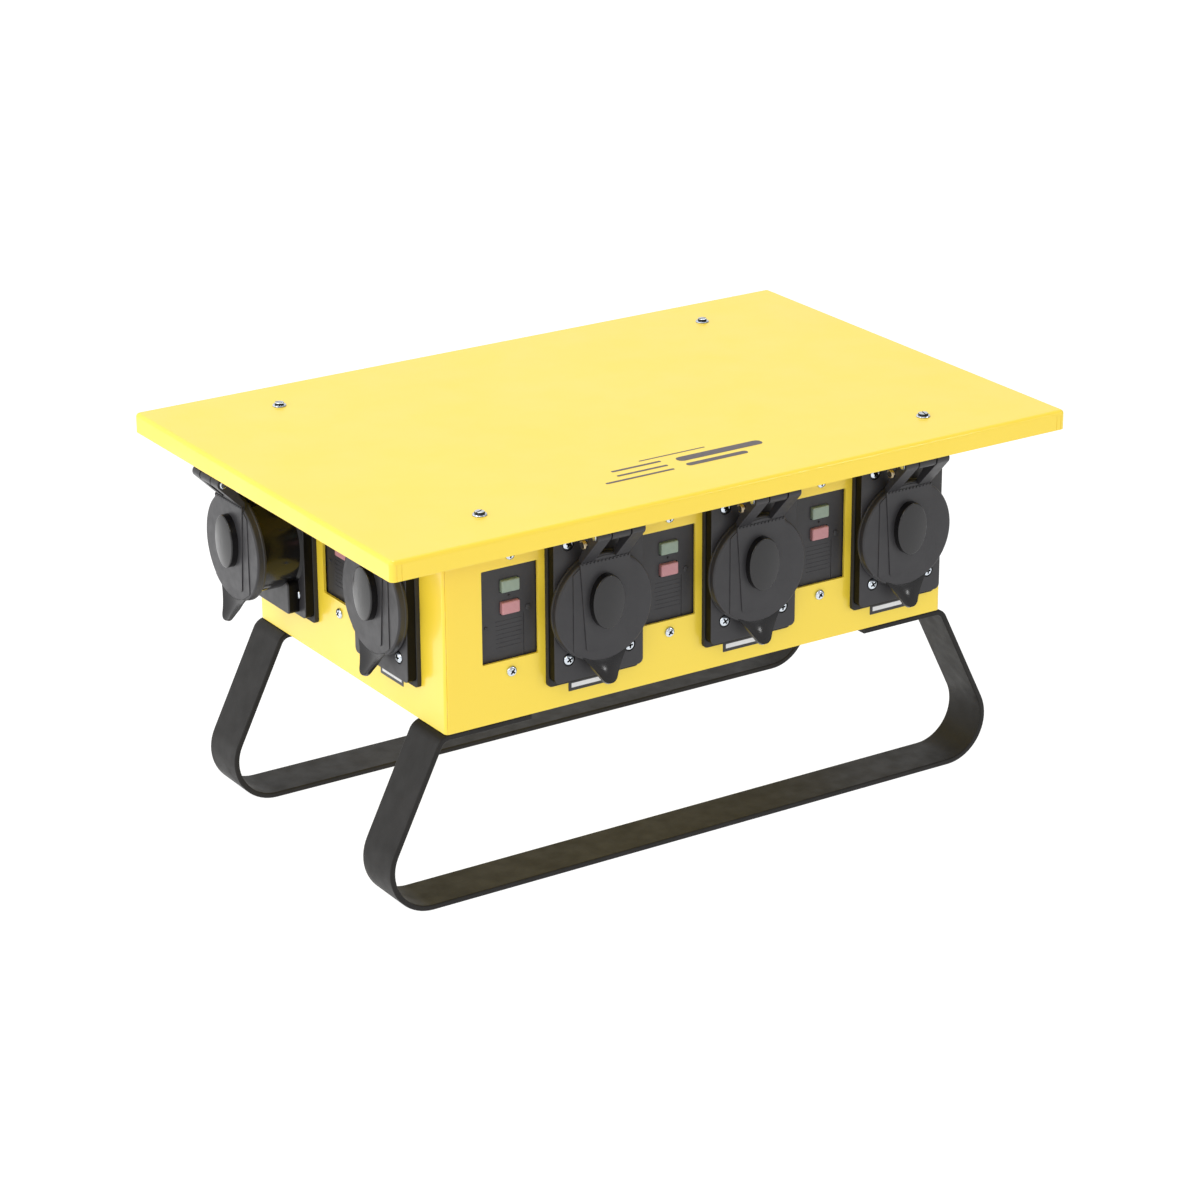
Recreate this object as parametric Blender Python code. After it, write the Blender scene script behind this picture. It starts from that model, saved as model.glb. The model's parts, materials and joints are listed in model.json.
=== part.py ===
"""Portable power distribution box: a sheet-steel box with an overhanging roof on two bent-bar legs.

Metres, +Z up, +X along the length. The origin is on the ground under the middle of the roof, and the
front faces -Y. Everything mounted on a wall is drawn lying on its back: X to its right, Y up the wall
and Z out of the wall, with Z = 0 on the wall's outer face. set_on_wall() then stands it in place.
"""

import math
from functools import reduce

import bmesh
import bpy
from mathutils import Matrix, Vector

MM = 0.001
GAP = 0.3 * MM

# Box, roof and legs
SHEET = 1.9 * MM
BOX_LENGTH = 413.5 * MM
BOX_DEPTH = 260 * MM
BOX_CORNER = 3 * MM
BOX_BOTTOM = 125 * MM
ROOF_TOP = BOX_BOTTOM + 153 * MM
ROOF_LENGTH = 548 * MM
ROOF_DEPTH = 362 * MM
ROOF_FLANGE = 14.2 * MM
ROOF_BEND = 3 * MM
ROOF_CORNER = 2.5 * MM
TOP_LIP = 14 * MM
ROOF_SCREW_X = 181.7 * MM
ROOF_SCREW_Y = 136.7 * MM
LEG_WIDTH = 38 * MM
LEG_BAR = 4 * MM
LEG_FLANGE_END = 139.8 * MM
LEG_TOP_CORNER = 209.2 * MM
LEG_LEAN = math.radians(26.3)
LEG_TOP_BEND = 8.8 * MM
LEG_FOOT_BEND = 31 * MM

# Outlets sit at the standard device pitch, one ground-fault module beside each outlet.
PITCH = 63.5 * MM
FIRST_DEVICE = -155.25 * MM
OUTLET_HEIGHT = BOX_BOTTOM + 78.65 * MM
MODULE_HEIGHT = BOX_BOTTOM + 76.5 * MM
END_RAISE = 6.5 * MM
LEFT_OUTLET = -62.5 * MM
LEFT_MODULE = 11 * MM
LEFT_INLET = 78.5 * MM
MODULE_OPENING = (43 * MM, 66.5 * MM)

# Cover plate with its flip lid
PLATE = (70 * MM, 114.3 * MM)
PLATE_FACE = 10 * MM
GASKET = (73 * MM, 122.9 * MM)
GASKET_FACE = 3.2 * MM
WELL_DROP = 6.15 * MM
WELL_RADIUS = 27.5 * MM
WALL_HOLE = 28.5 * MM
COLLAR_RADIUS = 31 * MM
COLLAR_FACE = 14.5 * MM
LID_RADIUS = 39 * MM
LID_BACK = PLATE_FACE + GAP
LID_FACE = 17.5 * MM
LID_HOLLOW_RADIUS = 36.3 * MM
LID_HOLLOW_FACE = 14.8 * MM
STRIP_FACE = 18.5 * MM
ARM_INNER = 8.2 * MM
ARM_OUTER = 18.8 * MM
KNUCKLE_HALF = 7.3 * MM
EYE_RADIUS = 4.3 * MM
PIN_RADIUS = 1.6 * MM
INLET_RISE = 30 * MM
SHROUD_RADIUS = 34.6 * MM
OUTLET_HINGE = (34.5 * MM, 52.85 * MM)
INLET_HINGE = (61 * MM, 47.85 * MM)
INSERT_RADIUS = WELL_RADIUS - GAP

# Ground-fault module
MODULE_FACE = -3 * MM
MODULE_LAP = 1 * MM
BUTTON = (14.2 * MM, 8.8 * MM)
BUTTON_FACE = -0.3 * MM
BUTTON_RIGHT = 1 * MM
BUTTON_HEIGHTS = {"green": 19 * MM, "red": 3.4 * MM}
WELL_CLEARANCE = 0.4 * MM

# Breaker window in the rear wall
WINDOW_HEIGHT = BOX_BOTTOM + 78 * MM
WINDOW_OPENING = (112 * MM, 56 * MM)
WINDOW_FRAME = (136 * MM, 86 * MM)
WINDOW_FRAME_FACE = 7.5 * MM
DOOR = (118 * MM, 66 * MM)
DOOR_BACK = WINDOW_FRAME_FACE + GAP
DOOR_FACE = 10.6 * MM
DOOR_HINGE = (11.4 * MM, 37.2 * MM)
DOOR_EYE = 3.2 * MM
DOOR_PIN = 1.2 * MM
DOOR_BARREL_HALF = 54 * MM
DOOR_EAR_OUTER = 61 * MM
BREAKER_PITCH = 25.4 * MM
BREAKER = (25 * MM, 76 * MM)
BREAKER_NOSE = (24 * MM, 36 * MM)
BREAKER_BACK = -66 * MM
BREAKER_SHOULDER = -10 * MM
BREAKER_NOSE_FACE = -5 * MM
TOGGLE_PIVOT = -10 * MM
TOGGLE_BARREL = 3.4 * MM
TOGGLE_REACH = 13 * MM
TOGGLE_TILT = math.radians(25)
TOGGLE_HALF_WIDTH = 3.2 * MM
TOGGLE_SLOT = (7.2 * MM, 25 * MM)


def clear_scene():
    for obj in list(bpy.data.objects):
        bpy.data.objects.remove(obj)


def make_material(name, colour, roughness, metallic=0.0, alpha=1.0):
    material = bpy.data.materials.new(name)
    material.use_nodes = True
    shader = material.node_tree.nodes["Principled BSDF"]
    shader.inputs["Base Color"].default_value = (*colour, 1.0)
    shader.inputs["Roughness"].default_value = roughness
    shader.inputs["Metallic"].default_value = metallic
    shader.inputs["Alpha"].default_value = alpha
    return material


# Outlines: lists of points in a plane


def arc(centre, radius, start, end, steps):
    """Points on a circle from one angle to the other, in degrees."""
    angles = [math.radians(start + (end - start) * i / steps) for i in range(steps + 1)]
    return [(centre[0] + radius * math.cos(a), centre[1] + radius * math.sin(a)) for a in angles]


def oval(width, height, steps, centre=(0, 0)):
    angles = [math.tau * i / steps for i in range(steps)]
    return [
        (centre[0] + width / 2 * math.cos(a), centre[1] + height / 2 * math.sin(a)) for a in angles
    ]


def rounded_rectangle(width, height, radius, centre=(0, 0), steps=2):
    points = []
    for quarter, (side_x, side_y) in enumerate(((1, 1), (-1, 1), (-1, -1), (1, -1))):
        middle_x = centre[0] + side_x * (width / 2 - radius)
        middle_y = centre[1] + side_y * (height / 2 - radius)
        points += arc((middle_x, middle_y), radius, 90 * quarter, 90 * quarter + 90, steps)
    return points


def rectangle(width, height, centre=(0, 0)):
    return [
        (centre[0] + side_x * width / 2, centre[1] + side_y * height / 2)
        for side_x, side_y in ((1, 1), (-1, 1), (-1, -1), (1, -1))
    ]


def ring_slot(radius, width, start, end, centre, steps=3):
    """Outline of a curved slot, as a twist-lock blade makes."""
    outer = arc(centre, radius + width / 2, start, end, steps)
    inner = arc(centre, radius - width / 2, end, start, steps)
    return outer + inner


def with_eye(root_low, axis, radius, heading, root_high, steps=5):
    """Side profile of an arm that ends in a round hinge eye, its root points given on each side."""
    return root_low + arc(axis, radius, heading - 90, heading + 90, steps) + root_high


# Solids


def solid(rings):
    """Closed mesh through rings of as many points each, with flat ends."""
    shape = bmesh.new()
    levels = [[shape.verts.new(point) for point in ring] for ring in rings]
    shape.faces.new(levels[0])
    shape.faces.new(levels[-1])
    for low, high in zip(levels, levels[1:]):
        for i in range(len(low)):
            j = (i + 1) % len(low)
            shape.faces.new((low[i], low[j], high[j], high[i]))
    bmesh.ops.recalc_face_normals(shape, faces=shape.faces)
    mesh = bpy.data.meshes.new("solid")
    shape.to_mesh(mesh)
    shape.free()
    return mesh


def pull(outline, low, high, plane="XY"):
    """Outline drawn in one plane, pulled from low to high along the third axis."""
    order = {
        "XY": lambda a, b, c: (a, b, c),
        "XZ": lambda a, b, c: (a, c, b),
        "ZY": lambda a, b, c: (c, b, a),
        "YZ": lambda a, b, c: (c, a, b),
    }[plane]
    return solid([[order(a, b, level) for a, b in outline] for level in (low, high)])


def slab(width, height, corner, low, high, edge, centre=(0, 0), steps=2):
    """Plate with rounded corners, whose upper edge is rounded too."""
    levels = [(0, low), (0, high - edge)]
    for i in range(1, steps + 1):
        turn = math.pi / 2 * i / steps
        levels.append((edge * (1 - math.cos(turn)), high - edge * (1 - math.sin(turn))))
    rings = []
    for inset, level in levels:
        radius = max(corner - inset, 0.2 * corner)
        size = (width - 2 * inset, height - 2 * inset)
        outline = rounded_rectangle(*size, radius, centre, steps)
        rings.append([(x, y, level) for x, y in outline])
    return solid(rings)


def turned(profile, sides, centre=(0, 0)):
    """Round solid about a line along Z, from (radius, height) pairs."""
    return solid(
        [[(x, y, level) for x, y in oval(2 * r, 2 * r, sides, centre)] for r, level in profile]
    )


def rod_across(profile, sides, out, up):
    """Round solid about a line along X, from (radius, x) pairs."""
    return solid([[(x, b, a) for a, b in oval(2 * r, 2 * r, sides, (out, up))] for r, x in profile])


def box(low, high):
    outline = [(low[0], low[1]), (high[0], low[1]), (high[0], high[1]), (low[0], high[1])]
    return pull(outline, low[2], high[2])


def boolean(body_mesh, tool_mesh, operation):
    body = bpy.data.objects.new("body", body_mesh)
    tool = bpy.data.objects.new("tool", tool_mesh)
    for obj in (body, tool):
        bpy.context.scene.collection.objects.link(obj)
    change = body.modifiers.new("change", "BOOLEAN")
    change.operation = operation
    change.object = tool
    change.solver = "EXACT"
    graph = bpy.context.evaluated_depsgraph_get()
    result = bpy.data.meshes.new_from_object(body.evaluated_get(graph))
    for obj in (body, tool):
        bpy.data.objects.remove(obj)
    return result


def joined(*meshes):
    return reduce(lambda body, tool: boolean(body, tool, "UNION"), meshes)


def cut(body, *tools):
    return reduce(lambda left, tool: boolean(left, tool, "DIFFERENCE"), tools, body)


# Placing


def add(name, mesh, material, frame=None, pivot=(0, 0, 0)):
    """Node made of a mesh, which turns about pivot: a point in the same frame as the mesh."""
    mesh = mesh.copy()
    mesh.name = name
    mesh.transform(Matrix.Translation(-Vector(pivot)))
    mesh.materials.clear()
    mesh.materials.append(material)
    mesh.shade_smooth()
    mesh.set_sharp_from_angle(angle=math.radians(32))
    obj = bpy.data.objects.new(name, mesh)
    obj.matrix_world = (frame or Matrix()) @ Matrix.Translation(pivot)
    bpy.context.scene.collection.objects.link(obj)
    return obj


def set_on_wall(side, along, height):
    """Frame that stands a wall-mounted piece on a side of the box, along in world X or Y."""
    turn, spot = {
        "front": (0, (along, -BOX_DEPTH / 2, height)),
        "left": (-90, (-BOX_LENGTH / 2, along, height)),
        "right": (90, (BOX_LENGTH / 2, along, height)),
        "rear": (180, (along, BOX_DEPTH / 2, height)),
    }[side]
    stand = Matrix.Rotation(math.radians(turn), 4, "Z") @ Matrix.Rotation(math.radians(90), 4, "X")
    return Matrix.Translation(spot) @ stand


def placed(mesh, frame):
    """Copy of a mesh, moved into a wall frame, for use as a cutter."""
    moved = mesh.copy()
    moved.transform(frame)
    return moved


# Where the wall-mounted pieces go: name, side, place along the wall, height of its centre


def outlet_places():
    places = [
        (f"front_{n + 1}", "front", FIRST_DEVICE + (2 * n + 1) * PITCH, OUTLET_HEIGHT)
        for n in range(3)
    ]
    return places + [("left", "left", LEFT_OUTLET, OUTLET_HEIGHT + END_RAISE)]


def module_places():
    places = [
        (f"front_{n + 1}", "front", FIRST_DEVICE + 2 * n * PITCH, MODULE_HEIGHT) for n in range(3)
    ]
    return places + [("left", "left", LEFT_MODULE, MODULE_HEIGHT + END_RAISE)]


def inlet_frame():
    return set_on_wall("left", LEFT_INLET, OUTLET_HEIGHT + END_RAISE)


def feed_frame():
    return set_on_wall("right", 0, OUTLET_HEIGHT + END_RAISE)


def window_frame():
    return set_on_wall("rear", 0, WINDOW_HEIGHT)


# Sheet metal


def make_housing(paint):
    """Four walls, with a lip folded inward at the ends and outward along both long sides."""
    top = ROOF_TOP - SHEET - GAP
    walls = pull(rounded_rectangle(BOX_LENGTH, BOX_DEPTH, BOX_CORNER), BOX_BOTTOM, top)
    inner_length = BOX_LENGTH - 2 * SHEET
    inner_depth = BOX_DEPTH - 2 * SHEET
    inside = rounded_rectangle(inner_length, inner_depth, BOX_CORNER - SHEET)
    below = BOX_BOTTOM - SHEET
    walls = cut(walls, pull(inside, below, top - SHEET))
    mouth = rectangle(inner_length - 2 * TOP_LIP, inner_depth)
    walls = cut(walls, pull(mouth, top - 2 * SHEET, top + SHEET))
    lip_length = BOX_LENGTH - 8 * SHEET
    for side in (-1, 1):
        near = side * (BOX_DEPTH / 2 - SHEET / 2)
        far = side * (BOX_DEPTH / 2 + TOP_LIP)
        low, high = sorted((near, far))
        lip = box((-lip_length / 2, low, top - SHEET), (lip_length / 2, high, top))
        walls = joined(walls, lip)
    deep = 5 * SHEET
    round_hole = turned([(WALL_HOLE, -deep), (WALL_HOLE, deep)], 16, (0, -WELL_DROP))
    window = pull(rectangle(*MODULE_OPENING), -deep, deep)
    frames = [set_on_wall(*place[1:]) for place in outlet_places()]
    frames += [inlet_frame(), feed_frame()]
    holes = [placed(round_hole, frame) for frame in frames]
    holes += [placed(window, set_on_wall(*place[1:])) for place in module_places()]
    holes.append(placed(pull(rectangle(*WINDOW_OPENING), -deep, deep), window_frame()))
    screw_hole = [(2.7 * MM, top - 3 * SHEET), (2.7 * MM, top + SHEET)]
    for x in (-ROOF_SCREW_X, ROOF_SCREW_X):
        for y in (-ROOF_SCREW_Y, ROOF_SCREW_Y):
            holes.append(turned(screw_hole, 8, (x, y)))
    add("housing", cut(walls, *holes), paint)


def make_roof(paint):
    """Shallow pan of folded sheet, open below."""
    low = ROOF_TOP - ROOF_FLANGE
    pan = slab(ROOF_LENGTH, ROOF_DEPTH, ROOF_CORNER, low, ROOF_TOP, ROOF_BEND)
    inside = rectangle(ROOF_LENGTH - 2 * SHEET, ROOF_DEPTH - 2 * SHEET)
    pan = cut(pan, pull(inside, low - SHEET, ROOF_TOP - SHEET))
    hole = [(2.7 * MM, ROOF_TOP - 3 * SHEET), (2.7 * MM, ROOF_TOP + SHEET)]
    for x in (-ROOF_SCREW_X, ROOF_SCREW_X):
        for y in (-ROOF_SCREW_Y, ROOF_SCREW_Y):
            pan = cut(pan, turned(hole, 8, (x, y)))
    add("roof_cover", pan, paint)


def make_base_panel(paint):
    """Floor of the box, between the walls."""
    length = BOX_LENGTH - 2 * (SHEET + GAP)
    depth = BOX_DEPTH - 2 * (SHEET + GAP)
    panel = pull(rounded_rectangle(length, depth, 1 * MM), BOX_BOTTOM, BOX_BOTTOM + SHEET)
    add("base_panel", panel, paint)


def make_roof_screws(steel):
    """Washer-headed screws through the roof and the lip below it."""
    seat = ROOF_TOP + GAP
    profile = [(2.2, -12), (2.2, 0), (5, 0), (5, 1), (3.4, 1), (3, 3)]
    screw = turned([(r * MM, seat + level * MM) for r, level in profile], 8)
    corners = {
        "front_left": (-ROOF_SCREW_X, -ROOF_SCREW_Y),
        "front_right": (ROOF_SCREW_X, -ROOF_SCREW_Y),
        "rear_left": (-ROOF_SCREW_X, ROOF_SCREW_Y),
        "rear_right": (ROOF_SCREW_X, ROOF_SCREW_Y),
    }
    for corner, (x, y) in corners.items():
        add(f"roof_screw_{corner}", screw, steel, Matrix.Translation((x, y, 0)))


def bent_bar(corners, bends, thickness, steps=6):
    """Outline of a flat bar bent along a path, whose points lie on the bar's middle line."""
    middle = []
    for i, corner in enumerate(corners):
        here = Vector(corner)
        if not bends[i]:
            other = corners[1] if i == 0 else corners[-2]
            way = (Vector(other) - here).normalized() * (1 if i == 0 else -1)
            middle.append((here, Vector((way.y, -way.x))))
            continue
        into = (here - Vector(corners[i - 1])).normalized()
        onward = (Vector(corners[i + 1]) - here).normalized()
        turn = into.angle_signed(onward)
        reach = bends[i] * math.tan(abs(turn) / 2)
        side = Vector((into.y, -into.x)) * math.copysign(1, turn)
        centre = here - into * reach + side * bends[i]
        for step in range(steps + 1):
            arm = -side
            arm.rotate(Matrix.Rotation(-turn * step / steps, 2))
            middle.append((centre + arm * bends[i], arm * math.copysign(1, -turn)))
    one_side = [point + across * thickness / 2 for point, across in middle]
    other_side = [point - across * thickness / 2 for point, across in middle]
    return [tuple(point) for point in one_side + other_side[::-1]]


def make_legs(powder_coat):
    """Two loops of flat bar under the front and rear edges, with feet spread past the box ends."""
    top = BOX_BOTTOM - GAP - LEG_BAR / 2
    foot = LEG_BAR / 2
    foot_corner = LEG_TOP_CORNER + (top - foot) * math.tan(LEG_LEAN)
    half = [(LEG_FLANGE_END, top), (LEG_TOP_CORNER, top), (foot_corner, foot)]
    bends = [0, LEG_TOP_BEND, LEG_FOOT_BEND]
    corners = half + [(-x, z) for x, z in half[::-1]]
    outline = bent_bar(corners, bends + bends[::-1], LEG_BAR)
    for side, name in ((-1, "leg_front"), (1, "leg_rear")):
        face = side * BOX_DEPTH / 2
        low, high = sorted((face, face - side * LEG_WIDTH))
        add(name, pull(outline, low, high, "XZ"), powder_coat)


# Outlets with flip lids


def knuckle_profile(hinge, rise):
    """The fixed hinge leaf, seen from the side: (out, up) points."""
    if rise:
        low = [(14, 22), (36, 22), (36.5, 36.6), (47, 38.6)]
        high = [(40, 47.5), (26, 44), (14, 34)]
        heading = 35
    else:
        low = [(8, 43), (17, 43.6), (25, 46.2)]
        high = [(26, 57), (8, 57)]
        heading = 8
    low = [(out * MM, up * MM) for out, up in low]
    high = [(out * MM, up * MM) for out, up in high]
    return with_eye(low, hinge, EYE_RADIUS, heading, high)


def gasket_and_plate():
    gasket = slab(*GASKET, 3 * MM, GAP, GASKET_FACE, 0.4 * MM)
    plate = slab(*PLATE, 4 * MM, GASKET_FACE - GAP, PLATE_FACE, 1.2 * MM)
    return joined(gasket, plate)


def well_cutter(depth):
    well = [(WELL_RADIUS, -SHEET), (WELL_RADIUS, COLLAR_FACE + depth + SHEET)]
    return turned(well, 24, (0, -WELL_DROP))


def hinge_knuckle(hinge, rise):
    return pull(knuckle_profile(hinge, rise), -KNUCKLE_HALF, KNUCKLE_HALF, "ZY")


def eye_cutter(hinge, reach):
    return rod_across([(PIN_RADIUS + GAP, -reach), (PIN_RADIUS + GAP, reach)], 8, *hinge)


def cover_plate():
    """Gasket and plate with a round well for the outlet and the fixed half of the lid's hinge."""
    collar = [(COLLAR_RADIUS, GASKET_FACE), (COLLAR_RADIUS, COLLAR_FACE)]
    collar = turned(collar, 24, (0, -WELL_DROP))
    body = joined(gasket_and_plate(), collar, hinge_knuckle(OUTLET_HINGE, 0))
    return cut(body, well_cutter(0), eye_cutter(OUTLET_HINGE, ARM_OUTER))


def inlet_shroud():
    """Deep tube round the inlet, on its plate, with a stepped foot and the fixed half of the hinge."""
    back = PLATE_FACE + GAP
    profile = [(SHROUD_RADIUS, back), (SHROUD_RADIUS, PLATE_FACE + INLET_RISE)]
    profile += [(COLLAR_RADIUS, PLATE_FACE + INLET_RISE), (COLLAR_RADIUS, COLLAR_FACE + INLET_RISE)]
    tube = turned(profile, 24, (0, -WELL_DROP))
    foot = slab(54 * MM, 24 * MM, 3 * MM, back, 18.5 * MM, 1.5 * MM, (0, -42.5 * MM))
    body = joined(tube, foot, hinge_knuckle(INLET_HINGE, INLET_RISE))
    return cut(body, well_cutter(INLET_RISE), eye_cutter(INLET_HINGE, ARM_OUTER))


def pull_tab(centre_up, rise):
    """Broad beak at the foot of the lid, which narrows evenly and curls outward to a tip."""
    path = [(13.9, -30), (13.9, -37.6), (14.6, -41.5), (17, -45.8), (20.8, -49.6), (24.4, -51.8)]
    widths = [44, 31.7, 25.5, 18.5, 12.4, 8.6]
    thicknesses = [4.4, 4.4, 4, 3.2, 2.6, 2]
    rings = []
    for i, (out, up) in enumerate(path):
        before = Vector(path[max(i - 1, 0)])
        after = Vector(path[min(i + 1, len(path) - 1)])
        way = (after - before).normalized()
        across = Vector((-way.y, way.x))
        ring = []
        for x, depth in rounded_rectangle(widths[i], thicknesses[i], 0.9, steps=1):
            spot = Vector((out, up)) + across * depth
            ring.append((x * MM, centre_up + spot.y * MM, rise + spot.x * MM))
        rings.append(ring)
    return solid(rings)


def lid_arm(hinge, centre_up, rise):
    """Side profile of one hinge arm, from the lid's upper rim out to the pin."""
    foot = (16.5 * MM + rise, centre_up + 34 * MM)
    heading = math.degrees(math.atan2(hinge[1] - foot[1], hinge[0] - foot[0]))
    back = LID_HOLLOW_FACE + rise
    face = STRIP_FACE + rise
    low = [(back, centre_up + 29 * MM), (face, centre_up + 29 * MM), (face, centre_up + 34 * MM)]
    high = [(back, centre_up + 37.6 * MM)]
    return with_eye(low, hinge, EYE_RADIUS, heading, high)


def flip_lid(hinge, rise):
    """Round cap with a raised strip, an oval knob, a pull tab and two hinge arms."""
    middle = -WELL_DROP
    back = LID_BACK + rise
    face = LID_FACE + rise
    rim = [(LID_RADIUS, back), (LID_RADIUS, face - 2.4 * MM)]
    rim += [(LID_RADIUS - 0.8 * MM, face - 0.9 * MM), (LID_RADIUS - 2.4 * MM, face)]
    cap = turned(rim, 28, (0, middle))
    strip = [(-19.2, 35.4), (-16.2, -27.5), (16.2, -27.5), (19.2, 35.4)]
    strip = pull([(x * MM, middle + y * MM) for x, y in strip], face - MM, STRIP_FACE + rise)
    knob = []
    for width, height, level in ((25, 38, 16), (25, 38, 21), (23.6, 36.4, 22.8), (19, 30, 23.8)):
        outline = oval(width * MM, height * MM, 16, (0, middle + 5.4 * MM))
        knob.append([(x, y, rise + level * MM) for x, y in outline])
    arm = lid_arm(hinge, middle, rise)
    arms = [pull(arm, *sorted((s * ARM_INNER, s * ARM_OUTER)), "ZY") for s in (-1, 1)]
    lid = joined(cap, strip, solid(knob), pull_tab(middle, rise), *arms)
    hollow = [(LID_HOLLOW_RADIUS, back - MM), (LID_HOLLOW_RADIUS, LID_HOLLOW_FACE + rise)]
    return cut(lid, turned(hollow, 20, (0, middle)), eye_cutter(hinge, ARM_OUTER + MM))


def hinge_pin(hinge, radius, reach, head_radius):
    """Headed pin across a hinge."""
    head = reach + MM
    profile = [(head_radius, -head), (head_radius, -reach), (radius, -reach)]
    profile += [(radius, reach), (head_radius, reach), (head_radius, head)]
    return rod_across(profile, 8, *hinge)


def insert_body(back, face):
    profile = [(INSERT_RADIUS, back), (INSERT_RADIUS, face - MM), (INSERT_RADIUS - MM, face)]
    return turned(profile, 20, (0, -WELL_DROP))


def straight_blade_receptacle():
    """Insulator with two blade slots, one of them wider across, and a ground hole."""
    face = 8 * MM
    floor = -5 * MM
    body = insert_body(-32 * MM, face)
    middle = -WELL_DROP
    slots = [
        pull(rectangle(2.4 * MM, 9 * MM, (-6.4 * MM, middle + 4 * MM)), floor, 12 * MM),
        pull(rectangle(2.4 * MM, 9 * MM, (6.4 * MM, middle + 4 * MM)), floor, 12 * MM),
        pull(oval(5.6 * MM, 5.6 * MM, 8, (0, middle - 7.5 * MM)), floor, 12 * MM),
    ]
    return cut(body, *slots)


def twist_lock_outlines():
    """Three curved blades and a narrower ground blade round a twist-lock connector."""
    middle = (0, -WELL_DROP)
    return [
        ring_slot(16 * MM, 2.6 * MM, start, start + span, middle)
        for start, span in ((70, 40), (160, 40), (-20, 40), (-104, 28))
    ]


def twist_lock_receptacle():
    body = insert_body(-34 * MM, 8 * MM)
    return cut(body, *[pull(outline, -8 * MM, 12 * MM) for outline in twist_lock_outlines()])


def twist_lock_inlet():
    body = insert_body(-30 * MM, 14 * MM)
    return joined(body, *[pull(outline, 10 * MM, 36 * MM) for outline in twist_lock_outlines()])


def make_outlets(black, grey, steel):
    """Four straight-blade outlets, the twist-lock inlet and the twist-lock feed-through outlet."""
    plate = cover_plate()
    lid = flip_lid(OUTLET_HINGE, 0)
    pin = hinge_pin(OUTLET_HINGE, PIN_RADIUS, ARM_OUTER + GAP, 2.8 * MM)
    receptacle = straight_blade_receptacle()
    pivot = (0, OUTLET_HINGE[1], OUTLET_HINGE[0])
    for name, *place in outlet_places():
        frame = set_on_wall(*place)
        add(f"cover_plate_{name}", plate, black, frame)
        add(f"flip_lid_{name}", lid, black, frame, pivot)
        add(f"hinge_pin_{name}", pin, steel, frame, pivot)
        add(f"receptacle_{name}", receptacle, grey, frame)
    feed = feed_frame()
    add("cover_plate_feed_outlet", plate, black, feed)
    add("flip_lid_feed_outlet", lid, black, feed, pivot)
    add("hinge_pin_feed_outlet", pin, steel, feed, pivot)
    add("receptacle_feed_outlet", twist_lock_receptacle(), grey, feed)
    inlet = inlet_frame()
    inlet_pivot = (0, INLET_HINGE[1], INLET_HINGE[0])
    inlet_pin = hinge_pin(INLET_HINGE, PIN_RADIUS, ARM_OUTER + GAP, 2.8 * MM)
    add("cover_plate_inlet", cut(gasket_and_plate(), well_cutter(0)), black, inlet)
    add("inlet_shroud", inlet_shroud(), black, inlet)
    add("flip_lid_inlet", flip_lid(INLET_HINGE, INLET_RISE), black, inlet, inlet_pivot)
    add("hinge_pin_inlet", inlet_pin, steel, inlet, inlet_pivot)
    add("power_inlet", twist_lock_inlet(), grey, inlet)


# Ground-fault modules


def module_body():
    """Moulded body that laps behind the edges of the wall opening, with a well for each button."""
    width, height = (size + 2 * MODULE_LAP for size in MODULE_OPENING)
    body = slab(width, height, 1 * MM, -38 * MM, MODULE_FACE, 0.5 * MM)
    strap = slab(30 * MM, 98 * MM, 3 * MM, -9 * MM, -7.4 * MM, 0.3 * MM)
    wells = []
    for up in BUTTON_HEIGHTS.values():
        outline = rectangle(*(size + 2 * WELL_CLEARANCE for size in BUTTON), (BUTTON_RIGHT, up))
        wells.append(pull(outline, -16 * MM, 0))
    return cut(joined(body, strap), *wells)


def make_modules(black, button_paints):
    body = module_body()
    for name, *place in module_places():
        frame = set_on_wall(*place)
        add(f"ground_fault_module_{name}", body, black, frame)
        for colour, up in BUTTON_HEIGHTS.items():
            centre = (BUTTON_RIGHT, up)
            button = slab(*BUTTON, 0.9 * MM, -12 * MM, BUTTON_FACE, 0.6 * MM, centre, 1)
            pivot = (*centre, BUTTON_FACE)
            add(f"{colour}_button_{name}", button, button_paints[colour], frame, pivot)


# Breaker window


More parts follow.
